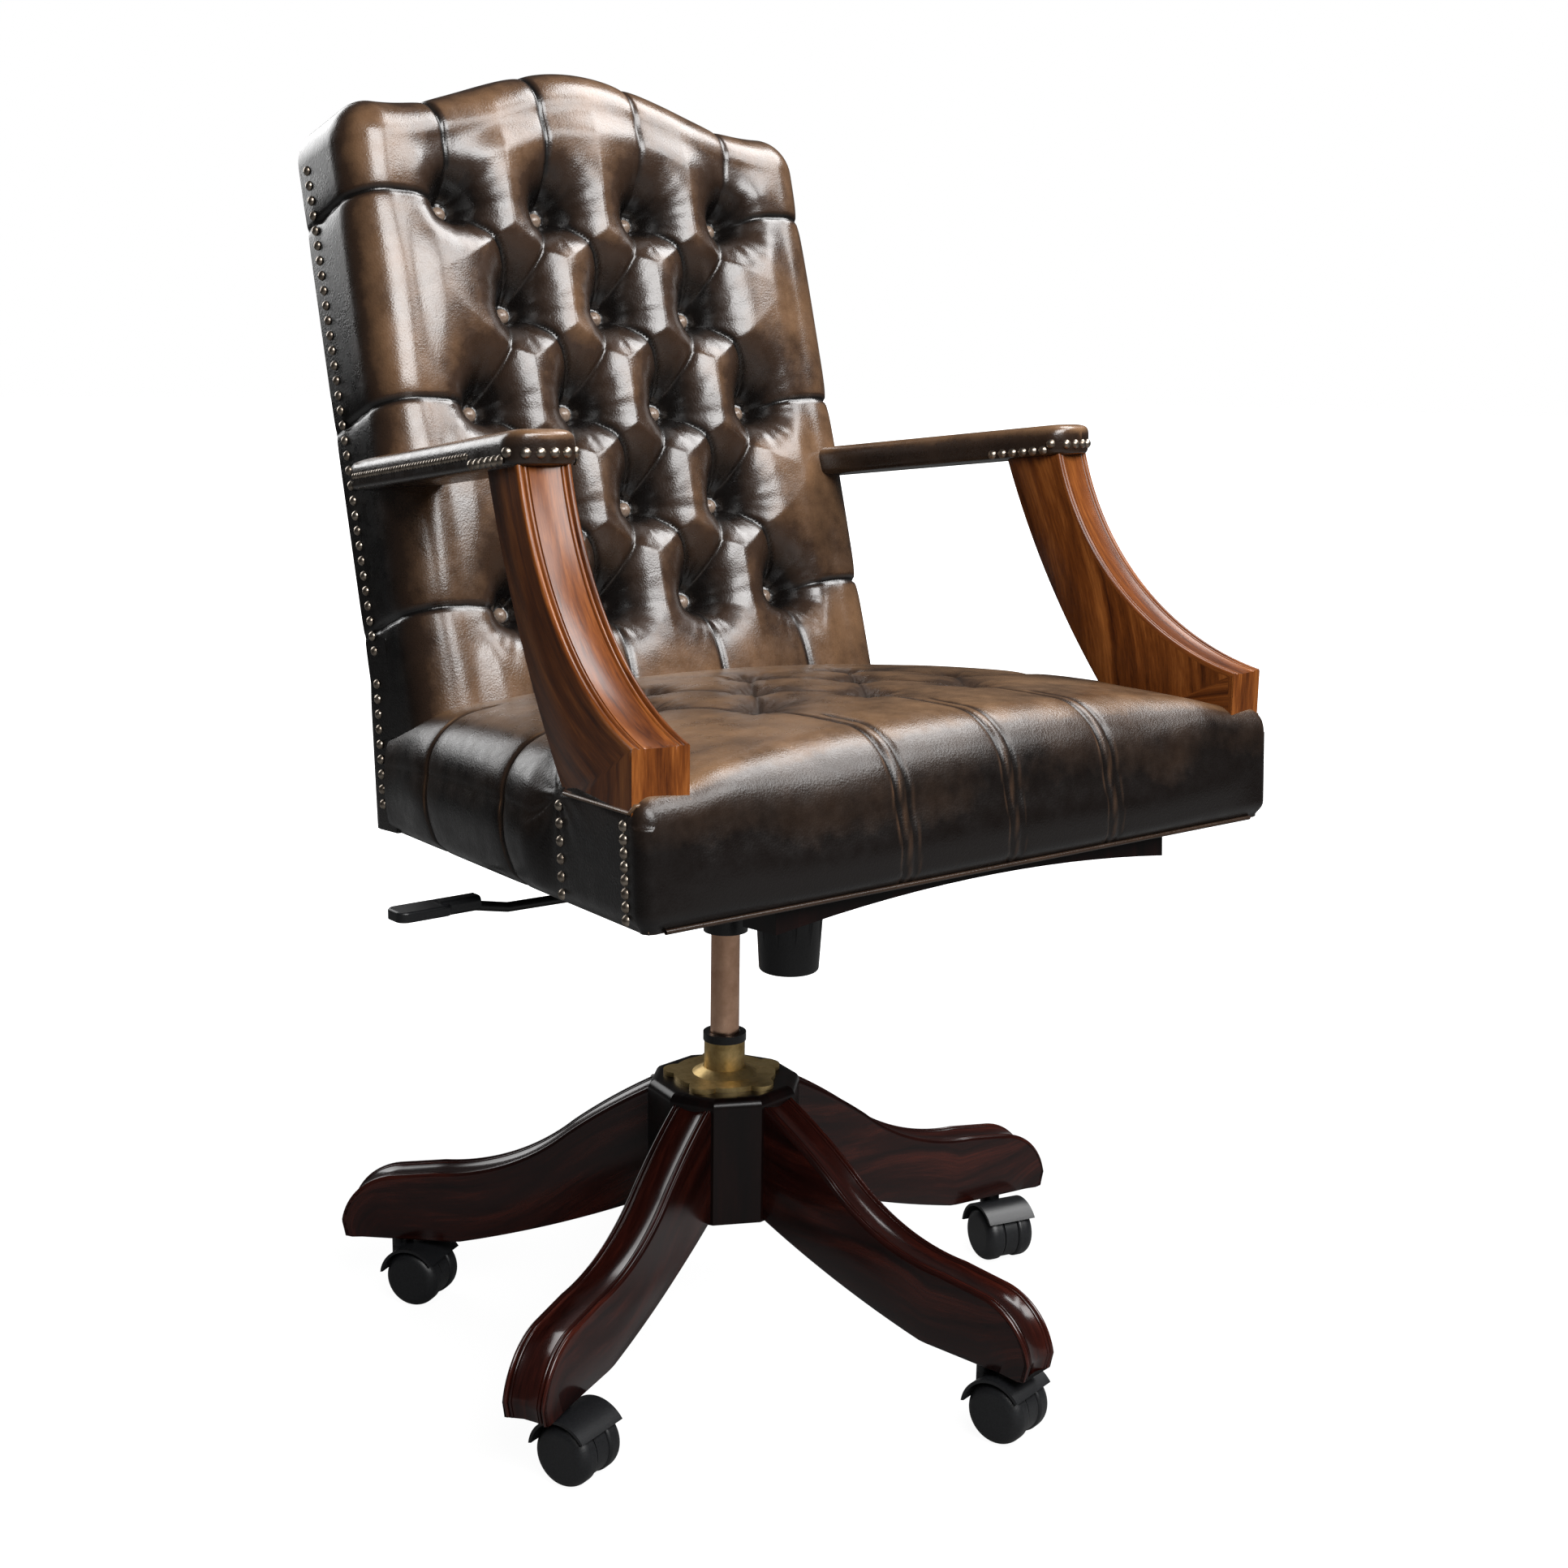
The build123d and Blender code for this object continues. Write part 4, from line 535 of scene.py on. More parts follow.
def back_relief(flat):
    """How far the leather is drawn in, and how dark the painted shade in its wells and creases is, with the
    antiquing's dark dye there, on the sheet laid flat.
    """
    longer_above, shorter_below = 0.75, 1.25
    line_width, dark_width = 0.0019, 0.003
    wells = np.zeros(flat.shape[:-1])
    drawn = np.zeros(flat.shape[:-1])
    crease_dye_and_shade = np.zeros(flat.shape[:-1])
    for index, button in enumerate(button_places()):
        away = flat - button
        stretch = np.where(away[..., 1] > 0, longer_above, shorter_below)
        distance = np.hypot(away[..., 0], away[..., 1] * stretch)
        beyond = np.maximum(distance - WELL_FLOOR, 0)
        wells = np.maximum(wells, WELL_DEPTH * np.exp(-beyond / WELL_SPREAD))
        drawn += radial_wrinkles(flat, button, 0.036, 0.0005, 7 + index % 3, 1.7 * index)
        crease_dye_and_shade = np.maximum(crease_dye_and_shade, np.exp(-((distance / 0.02) ** 2)))
    for start, middle, end, depth, width, crisp in back_folds():
        distance, along = to_bent_line(flat, start, middle, end)
        ends = smooth(0, 0.3, along)
        if np.linalg.norm(end - start) < 0.12:
            ends = ends * smooth(0, 0.3, 1 - along)
        drawn += depth * ends * np.exp(-distance / width)
        drawn += 0.0024 * crisp * smooth(0, 0.1, along) * np.exp(-((distance / line_width) ** 2))
        crease_dye_and_shade = np.maximum(crease_dye_and_shade, crisp * np.exp(-((distance / dark_width) ** 2)))
    return wells + drawn, crease_dye_and_shade


def back_cushion():
    wall = BACK_DEPTH - BACK_ROLL - BACK_WRAP
    flat_half = BACK_MEAN_HALF - BACK_ROLL
    across = both_ways(edge_steps(flat_half, BACK_ROLL, wall, (112, 34, 26)))
    over = edge_steps(0, BACK_ROLL, wall, (1, 34, 26))[1:]
    up = np.concatenate([np.linspace(0, 1, 240), 1 + over])
    across, up = np.meshgrid(across, up)
    x_flat = np.clip(across, -flat_half, flat_half)
    top_flat = back_top(x_flat) - BACK_ROLL
    height = -BACK_SKIRT + np.minimum(up, 1) * (top_flat + BACK_SKIRT)
    over_top = np.maximum(up - 1, 0)
    side_turn, side_beyond = rolled(np.abs(across), flat_half, BACK_ROLL)
    top_turn, top_beyond = rolled(over_top, 0, BACK_ROLL)
    side, top = soft_corner(np.sin(side_turn), np.sin(top_turn))
    front = np.sqrt(np.maximum(1 - side**2 - top**2, 0))
    taper = (back_half(height) - BACK_MEAN_HALF) * np.sin(side_turn)
    x = np.sign(across) * (np.abs(x_flat) + BACK_ROLL * side + taper)
    z = height + BACK_ROLL * top
    depth = BACK_DEPTH - BACK_ROLL * (1 - front) - np.maximum(side_beyond, top_beyond)
    drawn, crease_dye_and_shade = back_relief(np.stack([across, height + over_top], -1))
    crown = BACK_CROWN * smooth(0, BACK_FADE, flat_half - np.abs(x_flat))
    crown = crown * smooth(0, BACK_FADE, top_flat - height)
    held = np.maximum(smooth(0, 0.02, depth - BACK_WRAP - 0.006), 0.3)
    normal = np.stack([np.sign(across) * side, -front, top], -1)
    points = np.stack([x, -depth, z], -1) + normal * ((crown - drawn) * held)[..., None]
    # Painted shade: darker where the leather is drawn into the wells and folds and along their creases, over
    # the antiquing's dye; the crowns stay light, worn to tan.
    crown_rub_and_crease_shade = np.clip(0.8 - drawn / 0.05, 0, 1) * (1 - 0.95 * crease_dye_and_shade)
    # Painted shade: darker over the rolled edges and down the side walls, the further the sheet turns away
    # from the front.
    wear_and_shade = crown_rub_and_crease_shade * (0.05 + 0.95 * smooth(0.03, 0.088, depth))
    piece = mesh_piece(
        "back_cushion_leather", place(points, BACK).reshape(-1, 3),
        sheet_faces(*across.shape, side_beyond, top_beyond),
        back_leather, "seat", values={"wear_and_shade": wear_and_shade.ravel()},
    )
    weld(piece)
    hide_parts("back_cushion")


def behind_back(points):
    """Points (x, depth in front of the rear face, height up the back) bent at the kink."""
    upper = np.stack([points[..., 0], -points[..., 1], points[..., 2]], -1)
    lower = upper + np.array((0, BACK_REAR, BACK_KINK))
    share = smooth(-0.03, 0.03, points[..., 2])[..., None]
    return place(upper, BACK) * share + place(lower, SEAT) * (1 - share)


def outside_back():
    """The smooth padded panel behind the back, from the top rail down to the seat's lower edge."""
    roll = 0.016
    wall = 0.006
    inset = 0.0015
    foot = SEAT_RISE - BACK_KINK
    flat_half = BACK_MEAN_HALF - inset - BACK_ROLL
    across = -both_ways(edge_steps(flat_half, BACK_ROLL, wall, (40, 40, 4)))
    over = edge_steps(0, BACK_ROLL, wall, (1, 40, 4))[1:]
    up = np.concatenate([np.linspace(0, 1, 130), 1 + over])
    across, up = np.meshgrid(across, up)
    x_flat = np.clip(across, -flat_half, flat_half)
    top_flat = back_top(x_flat) - inset - BACK_ROLL
    height = foot + np.minimum(up, 1) * (top_flat - foot)
    side_turn, side_beyond = rolled(np.abs(across), flat_half, BACK_ROLL)
    top_turn, top_beyond = rolled(np.maximum(up - 1, 0), 0, BACK_ROLL)
    side, top = soft_corner(np.sin(side_turn), np.sin(top_turn))
    edge = tightened(np.minimum(np.hypot(side, top), 1), BACK_ROLL, roll)
    rear = np.sqrt(1 - edge**2)
    taper = (back_half(np.maximum(height, BACK_FOOT)) - BACK_MEAN_HALF) * np.sin(side_turn)
    x = np.sign(across) * (np.abs(x_flat) + BACK_ROLL * side + taper)
    puff = OUTSIDE_BACK_PUFF * (1 - (x / BACK_FOOT_HALF) ** 2) * smooth(foot, foot + 0.1, height)
    puff = puff * smooth(0, 0.08, top_flat - height)
    depth = roll * (1 - rear) - OUTSIDE_BACK_DEPTH + np.maximum(side_beyond, top_beyond) - puff
    points = behind_back(np.stack([x, depth, height + BACK_ROLL * top], -1))
    piece = mesh_piece(
        "outside_back_leather", points.reshape(-1, 3), sheet_faces(*across.shape, side_beyond, top_beyond),
        back_leather, "seat", values={"wear_and_shade": 0.35 * rear.ravel()},
    )
    weld(piece)
    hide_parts("outside_back")


def back_flaps():
    """The leather that covers the back's sides below the cushion, beside the seat."""
    highest = 0.02
    middle = 0.015
    half_width = 0.016
    edge_roll = 0.02
    thickness = 0.006
    sunk = 0.0066
    for name, side in SIDES:
        heights = np.linspace(SEAT_RISE - BACK_KINK, highest, 40)
        turn = np.linspace(0, pi, 25)
        depths, rise = np.meshgrid(middle + half_width * np.cos(turn), heights)
        outs, rise = np.meshgrid(np.minimum(np.sin(turn) * edge_roll, thickness), heights)
        x = side * (BACK_FOOT_HALF - sunk + outs)
        points = behind_back(np.stack([x, depths, rise], -1))
        faces = grid_faces(*x.shape)
        if side < 0:
            faces = [tuple(reversed(face)) for face in faces]
        piece = mesh_piece(
            f"back_flap_{name}", points.reshape(-1, 3), faces, back_leather, "seat",
            values={"wear_and_shade": 0.15 * np.ones(x.size)},
        )


# Seat: one leather sheet over the top, the rolled edges and the sides

def seat_half(y):
    return SEAT_FRONT_HALF - SIDE_SPLAY * (y + SEAT_FRONT)


def seat_crown(x, y):
    return CROWN_TOP - (x**2 + (y - CROWN_MIDDLE) ** 2) / CROWN_SPREAD


def seat_tufts():
    for row in range(SEAT_TUFT_ROWS):
        count = 3 if row % 2 == 0 else 4
        for index in range(count):
            x = (index - (count - 1) / 2) * SEAT_TUFT_PITCH
            yield np.array((x, SEAT_TUFT_FRONT + row * SEAT_TUFT_ROW))


def seat_folds():
    """Folds as (start, middle, end, depth, width, crispness) on the sheet laid flat."""
    bend, hem = -0.27, -0.42
    tufts = list(seat_tufts())
    for first in tufts:
        for second in tufts:
            run = second - first
            if abs(run[0]) < SEAT_TUFT_PITCH and abs(run[1] - SEAT_TUFT_ROW) < SAME_ROW:
                yield first, (first + second) / 2, second, 0.0022, 0.008, 0.3 if run[0] > 0 else 0.7
    for x, y in tufts:
        if abs(y - SEAT_TUFT_FRONT) < SAME_ROW:
            start, middle, end = np.array(((x, y), (x + 0.002, bend), (x + 0.02, hem)))
            yield start, middle, end, 0.001, 0.007, 0.9
            start, middle, end = np.array(((x + 0.012, y - 0.05), (x + 0.015, bend), (x + 0.028, hem)))
            yield start, middle, end, 0.0005, 0.006, 0.6
    for side in (-1, 1):
        for inner, middle, outer in ((-0.09, -0.07, -0.1), (0.06, 0.075, 0.05)):
            start = np.array((side * 0.19, inner))
            yield start, np.array((side * 0.31, middle)), np.array((side * 0.4, outer)), 0.003, 0.007, 1.0


def seat_relief(flat):
    """How far the leather is drawn in, how dark the painted shade in its creases is, with the antiquing's
    dark dye there, and how bright the painted highlight along the edges of its folds is, on the sheet laid
    flat."""
    drawn = np.zeros(flat.shape[:-1])
    crease_dye_and_shade = np.zeros(flat.shape[:-1])
    fold_edge_highlight = np.zeros(flat.shape[:-1])
    for index, tuft in enumerate(seat_tufts()):
        distance = np.linalg.norm(flat - tuft, axis=-1)
        drawn += 0.01 * np.exp(-((distance / 0.017) ** 1.2))
        star = radial_wrinkles(flat, tuft, 0.028, 1.0, 5 + index % 3, 1.3 * index)
        drawn += 0.0009 * star
        fold_edge_highlight = np.maximum(fold_edge_highlight, 0.7 * smooth(0.7, 1.3, -star))
        crease_dye_and_shade = np.maximum(crease_dye_and_shade, 0.7 * np.exp(-((distance / 0.007) ** 2)))
    for side in (-1, 1):
        drawn += radial_wrinkles(flat, np.array((side * 0.31, -0.165)), 0.035, 0.0008, 7, 0.5)
    for start, middle, end, depth, width, crisp in seat_folds():
        distance, along = to_bent_line(flat, start, middle, end)
        ends = smooth(0, 0.1, along)
        line = crisp * ends * np.exp(-((distance / 0.0017) ** 2))
        drawn += depth * smooth(0, 0.15, along) * np.exp(-distance / width)
        drawn += 0.002 * line
        crease_dye_and_shade = np.maximum(crease_dye_and_shade, line)
        fold_edge_highlight = np.maximum(fold_edge_highlight, crisp * ends * np.exp(-(((distance - 0.0036) / 0.0013) ** 2)))
    return drawn, crease_dye_and_shade, fold_edge_highlight


def round_corner(side, front):
    """Rounds the corner of the unit square that the side's and front's reach make in plan."""
    share = SEAT_CORNER / SEAT_ROLL
    a = np.clip((side - 1 + share) / share, 0, 1)
    b = np.clip((front - 1 + share) / share, 0, 1)
    a, b = soft_corner(a, b)
    return np.minimum(side, 1 - share) + share * a, np.minimum(front, 1 - share) + share * b


def seat_cushion():
    wall = SEAT_EDGE_TOP - SEAT_ROLL - SEAT_RISE
    flat_half = SEAT_MEAN_HALF - SEAT_ROLL
    across = both_ways(edge_steps(flat_half, SEAT_ROLL, wall, (118, 36, 32)))
    forward = edge_steps(SEAT_FRONT - SEAT_ROLL, SEAT_ROLL, wall, (120, 36, 32))
    back = np.concatenate([-forward[:0:-1], np.linspace(0, SEAT_REAR, 80)])
    across, back = np.meshgrid(across, back)
    side_turn, side_beyond = rolled(np.abs(across), flat_half, SEAT_ROLL)
    front_turn, front_beyond = rolled(-back, SEAT_FRONT - SEAT_ROLL, SEAT_ROLL)
    side, front = round_corner(np.sin(side_turn), np.sin(front_turn))
    y_flat = np.maximum(back, -(SEAT_FRONT - SEAT_ROLL))
    y = y_flat - SEAT_ROLL * front
    share = np.clip(np.abs(across) / flat_half, 0, 1)
    flat_x = share * (seat_half(y) - SEAT_ROLL)
    x = np.sign(across) * (flat_x + SEAT_ROLL * side)
    side_roll = CORNER_ROLL + (SEAT_ROLL - CORNER_ROLL) * smooth(-0.2, -0.13, y)
    front_roll = SEAT_ROLL + (CORNER_ROLL - SEAT_ROLL) * smooth(0.15, 0.285, np.abs(x))
    down_side = tightened(np.sin(side_turn), SEAT_ROLL, side_roll)
    down_front = tightened(np.sin(front_turn), SEAT_ROLL, front_roll)
    weight = down_side**2 + down_front**2 + 1e-9
    roll = (side_roll * down_side**2 + front_roll * down_front**2) / weight
    slope = np.minimum((down_side**6 + down_front**6) ** (1 / 6), 1)
    level = np.sqrt(1 - slope**2)
    under_foot = smooth(0.23, 0.28, np.abs(x)) * (1 - smooth(-0.2, -0.12, y))
    top = seat_crown(flat_x + 0.4 * SEAT_ROLL * side, y) - 0.005 * under_foot
    fall = np.clip(np.maximum(side_beyond, front_beyond) / wall, 0, 1)
    z = (top - roll * (1 - level)) * (1 - fall) + SEAT_RISE * fall
    unrolled_x = np.sign(across) * (flat_x + SEAT_ROLL * side_turn + side_beyond)
    unrolled_y = y_flat - SEAT_ROLL * front_turn - front_beyond
    drawn, crease_dye_and_shade, fold_edge_highlight = seat_relief(np.stack([unrolled_x, unrolled_y], -1))
    behind_foot = smooth(-0.165, -0.12, y) * (1 - 0.6 * smooth(0.08, 0.16, y))
    swell = np.sin(pi * np.clip(0.25 + 0.75 * fall, 0, 1)) * (fall > 0)
    lip = np.sin(pi * fall) ** 2
    puff = 0.011 * behind_foot * down_side * np.maximum(swell * 0.9, slope * (fall == 0) * 0.64)
    puff = puff + 0.004 * down_front * lip * (1 - smooth(0.24, 0.3, np.abs(x)))
    tuck = 0.007 * smooth(0.78, 1, fall) ** 2
    move = puff - tuck - drawn * (1 - 0.75 * smooth(0.85, 1, fall))
    spread = np.sqrt(down_side**2 + down_front**2 + level**2)
    normal = np.stack([np.sign(across) * down_side, -down_front, level], -1) / spread[..., None]
    points = np.stack([x, y, z], -1) + normal * move[..., None]
    # Painted shade: the leather darkens round the rolled edges and down the front and side walls, more on
    # the steeper and lower parts.
    shaded = (1 - 0.7 * smooth(0.4, 1, slope)) * (1 - 0.85 * smooth(0, 0.5, fall))
    # Painted shade where the leather is drawn in at the tufts and folds, and along their creases, over the
    # antiquing's dye.
    wear_and_shade = np.clip(0.82 - drawn / 0.018, 0, 1) * (1 - 0.9 * crease_dye_and_shade) * shaded
    # Painted highlight: a paler line along the edges of each fold.
    wear_and_shade = np.maximum(wear_and_shade, fold_edge_highlight * (0.85 - 0.4 * fall))
    # A paler band along the very bottom of the walls.
    wear_and_shade = np.maximum(wear_and_shade, 0.4 * smooth(0.97, 1, fall))
    piece = mesh_piece(
        "seat_cushion_leather", place(points, SEAT).reshape(-1, 3),
        sheet_faces(*across.shape, side_beyond, front_beyond),
        seat_leather, "seat", values={"wear_and_shade": wear_and_shade.ravel()},
    )
    weld(piece)
    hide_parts("seat_cushion")


# Wooden blades: legs and arm posts with a moulding along their outer edge

def moulding(share):
    """Relief across a moulded edge, from -1 to 1: two beads at each side and a shallow hollow between."""
    away = np.abs(share)
    outer = 0.0022 * np.sqrt(np.maximum(1 - ((away - 0.89) / 0.11) ** 2, 0))
    inner = 0.0017 * np.sqrt(np.maximum(1 - ((away - 0.68) / 0.08) ** 2, 0))
    hollow = 0.0012 * np.minimum(away / 0.58, 1) ** 2 * (away < 0.6)
    return np.maximum(np.maximum(outer, inner), hollow) - 0.0024


def blade(name, body, outer, inner, width, to_space, material, replaced, plain=0, bold=1.0):
    """A board between a moulded outer edge and a plain inner one, each a list of (u, z).
    The last plain points of the outer edge have no moulding."""
    outer = np.array(outer)
    inner = np.array(inner)
    run = np.gradient(outer, axis=0)
    run /= np.linalg.norm(run, axis=1)[:, None]
    away = np.stack([-run[:, 1], run[:, 0]], 1)
    if np.sum((outer - inner) * away) < 0:
        away = -away
    length = np.concatenate([[0], np.cumsum(np.linalg.norm(np.diff(outer, axis=0), axis=1))])
    share = np.linspace(-1, 1, 81)
    relief = bold * moulding(share)
    soft = 0.0015
    rings, uvs = [], []
    for index, (spot, foot, out, along) in enumerate(zip(outer, inner, away, length)):
        raised = relief if index < len(outer) - plain else np.full(share.shape, -0.0004)
        edge = spot + out * raised[:, None]
        ring = [(u, z, part * width / 2) for (u, z), part in zip(edge, share)]
        right = [tuple(spot + (foot - spot) * part) + (width / 2,) for part in (0.06, 0.5, 0.97)]
        left = [(u, z, -across) for u, z, across in reversed(right)]
        ring += right + [(*foot, width / 2 - soft), (*foot, -width / 2 + soft)] + left
        rings.append(ring)
        girth = np.cumsum(np.linalg.norm(np.diff(np.array(ring), axis=0, prepend=[ring[0]]), axis=1))
        uvs.extend((along, value) for value in girth)
    faces = closed_faces(len(rings), len(rings[0]))
    points = [to_space(*point) for ring in rings for point in ring]
    piece = mesh_piece(name, points, faces, material, body, uv=uvs)
    outward(piece)
    crisp = piece.modifiers.new("crisp", "EDGE_SPLIT")
    crisp.split_angle = radians(50)
    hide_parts(replaced)


def arc_points(start, middle, end, count):
    """Points of the circle's arc through three points of a plane."""
    (ax, ay), (bx, by), (cx, cy) = start, middle, end
    turn = 2 * (ax * (by - cy) + bx * (cy - ay) + cx * (ay - by))
    a2, b2, c2 = ax * ax + ay * ay, bx * bx + by * by, cx * cx + cy * cy
    ox = (a2 * (by - cy) + b2 * (cy - ay) + c2 * (ay - by)) / turn
    oy = (a2 * (cx - bx) + b2 * (ax - cx) + c2 * (bx - ax)) / turn
    first = np.arctan2(ay - oy, ax - ox)
    via = np.arctan2(by - oy, bx - ox)
    last = np.arctan2(cy - oy, cx - ox)
    sweep = (last - first) % (2 * pi)
    if (via - first) % (2 * pi) > sweep:
        sweep -= 2 * pi
    angles = first + np.linspace(0, sweep, count)
    radius = hypot(ax - ox, ay - oy)
    return [(ox + radius * cos(angle), oy + radius * sin(angle)) for angle in angles]


def line_points(start, end, count):
    steps = np.linspace(0, 1, count)[:, None]
    return [tuple(point) for point in np.array(start) * (1 - steps) + np.array(end) * steps]


def legs():
    span = TOE_RADIUS - HUB_RADIUS
    low = LEG_UNDERSIDE

    def at(along, up):
        return (HUB_RADIUS + span * along, low + LEG_ROOT * up)

    shoulder = at(0.265, 0.702)
    instep = at(0.685, 0.418)
    knuckle = at(0.82, 0.39)
    top = arc_points(at(0, 1), at(0.142, 0.855), shoulder, 16)
    top += arc_points(shoulder, at(0.44, 0.508), instep, 24)[1:]
    top += line_points(instep, knuckle, 6)[1:]
    toe_top = at(1, 0.1)
    toe = arc_points(knuckle, (TOE_RADIUS - 0.013, low + 0.275 * LEG_ROOT), toe_top, 18)
    toe += line_points(toe_top, (TOE_RADIUS - 0.0035, low + 0.001), 5)[1:]
    arch = at(0.62, 0)
    heel = (TOE_RADIUS - TOE_FLAT, low)
    arch_middle = (HUB_RADIUS + span * 0.28, low + HUB_RISE * 0.475)
    under = arc_points((HUB_RADIUS, low + HUB_RISE + 0.001), arch_middle, arch, 40)
    under += line_points(arch, heel, 8)[1:]
    shares = np.linspace(0, 1, len(under))
    picks = np.linspace(0, 1, len(top))
    bottom = np.stack([np.interp(picks, shares, line) for line in np.transpose(under)], 1)
    toe_foot = line_points(heel, (TOE_RADIUS - 0.01, low), len(toe))[1:]
    outer = top + toe[1:]
    inner = [tuple(point) for point in bottom] + toe_foot
    for index in range(LEG_COUNT):
        angle = radians(FIRST_LEG_ANGLE + 360 / LEG_COUNT * index)

        def to_space(along, up, across):
            return (along * cos(angle) - across * sin(angle), along * sin(angle) + across * cos(angle), up)

        blade(
            f"leg_{index + 1}_reeded", "base", outer, inner, LEG_WIDTH, to_space,
            leg_wood, f"base_leg_{index + 1}", bold=1.5,
        )


def arm_space(side):
    """Turns (along the arm, height, out from its centre plane) into a place, for one side."""
    def to_space(along, up, out):
        out = out - ARM_THICKNESS / 2
        x = ARM_FRONT[0] - along * sin(SPLAY_ANGLE) + out * cos(SPLAY_ANGLE)
        y = ARM_FRONT[1] + along * cos(SPLAY_ANGLE) + out * sin(SPLAY_ANGLE)
        return (side * x, y, up)
    return to_space


def pad_line(along, ends):
    return ends[0] + (ends[1] - ends[0]) * (along - PAD_NOSE) / (PAD_REACH - PAD_NOSE)


def bulged(start, end, sag):
    """The middle of an arc that stands off its chord, to the right of the way it runs."""
    run = np.subtract(end, start)
    off = np.array((run[1], -run[0])) * sag / np.linalg.norm(run)
    return tuple(np.add(start, end) / 2 + off)


def frame_top(y):
    """Height of the seat frame's upper face, on which the arms stand."""
    return TILT_AXIS[2] + FRAME_TOP / cos(SEAT_PITCH) - (y - TILT_AXIS[1]) * tan(SEAT_PITCH)


def arm_posts():
    foot_top = (0, FOOT_TOP)
    foot_front = (0, frame_top(ARM_FRONT[1]) - FOOT_SINK)
    foot_rear = (FOOT_LENGTH, frame_top(ARM_FRONT[1] + FOOT_LENGTH) - FOOT_SINK)
    top_front = (POST_TOP_FRONT, pad_line(POST_TOP_FRONT, PAD_BOTTOM) + POST_SINK)
    top_end = POST_TOP_FRONT + POST_TOP_DEPTH
    top_rear = (top_end, pad_line(top_end, PAD_BOTTOM) + POST_SINK)
    outer = arc_points(top_front, bulged(foot_top, top_front, POST_FRONT_SAG), foot_top, 44)
    block = line_points((0, FOOT_TOP - 0.0015), foot_front, 8)
    inner = arc_points(top_rear, bulged(top_rear, foot_rear, POST_REAR_SAG), foot_rear, 44)
    inner += line_points(foot_rear, (0.03, foot_front[1]), 9)[1:]
    for name, side in SIDES:
        blade(
            f"arm_post_{name}_moulded", "seat", outer + block, inner, ARM_THICKNESS, arm_space(side),
            arm_wood, f"arm_post_{name}", plain=len(block),
        )


# Arm pads, nails, welts and piping

def nose_plan(share):
    """How far back from its tip a pad's rounded nose has come, at a share of its half width."""
    return PAD_NOSE + NOSE_LENGTH * (1 - (1 - abs(share) ** NOSE_POWER) ** (1 / NOSE_POWER))


def arm_pads():
    """Crowned leather pads with a rounded nose, over the arm rails."""
    nose_run = NOSE_LENGTH * (1 - np.cos(np.linspace(0.06, pi / 2, 20)))
    along = PAD_NOSE + np.concatenate([nose_run, np.linspace(NOSE_LENGTH + 0.004, PAD_END - PAD_NOSE, 64)])
    turn = np.linspace(0, 2 * pi, 65)[:-1]
    wide = np.sign(np.cos(turn)) * np.abs(np.cos(turn)) ** 0.42
    high = np.sign(np.sin(turn)) * np.abs(np.sin(turn)) ** np.where(np.sin(turn) > 0, 0.7, 0.3)
    for name, side in SIDES:
        to_space = arm_space(side)
        points, wear_and_shade = [], []
        for station in along:
            reach = min((station - PAD_NOSE) / NOSE_LENGTH, 1)
            taper = (1 - (1 - reach) ** NOSE_POWER) ** (1 / NOSE_POWER)
            half = (ARM_THICKNESS / 2 + PAD_OVERHANG) * taper
            low = pad_line(station, PAD_BOTTOM) + 0.0004 + 0.003 * (1 - taper)
            top = pad_line(station, PAD_TOP) - 0.007 * (1 - taper)
            middle = low + PAD_BELLY
            for across, level in zip(wide, high):
                height = middle + (top - middle if level > 0 else middle - low) * level
                points.append(to_space(station, height, half * across))
                # Lighter over the top of the pad than down its sides and underside.
                wear_and_shade.append(0.35 + 0.6 * max(level, 0))
        faces = closed_faces(len(along), len(turn))
        label = f"arm_pad_{name}_leather"
        piece = mesh_piece(label, points, faces, back_leather, "seat", values={"wear_and_shade": wear_and_shade})
        outward(piece)
        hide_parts(f"arm_pad_{name}")


def domes(name, places, radius, height, material):
    """Nail heads in one mesh, each from a place and the way it faces."""
    points, faces = [], []
    rings, count = 4, 10
    for spot, facing in places:
        turn = Vector(facing).to_track_quat("Z", "X").to_matrix()
        first = len(points)
        for ring in range(rings):
            rise = ring / rings * pi / 2
            for index in range(count):
                angle = 2 * pi * index / count
                reach = radius * cos(rise)
                local = Vector((reach * cos(angle), reach * sin(angle), height * sin(rise)))
                points.append(tuple(Vector(spot) + turn @ local))
        points.append(tuple(Vector(spot) + turn @ Vector((0, 0, height))))
        faces.extend(tuple(first + index for index in face) for face in grid_faces(rings, count, ring=True))
        crown = first + (rings - 1) * count
        tip = len(points) - 1
        faces.extend((crown + index, crown + (index + 1) % count, tip) for index in range(count))
    piece = mesh_piece(name, points, faces, material, "seat")


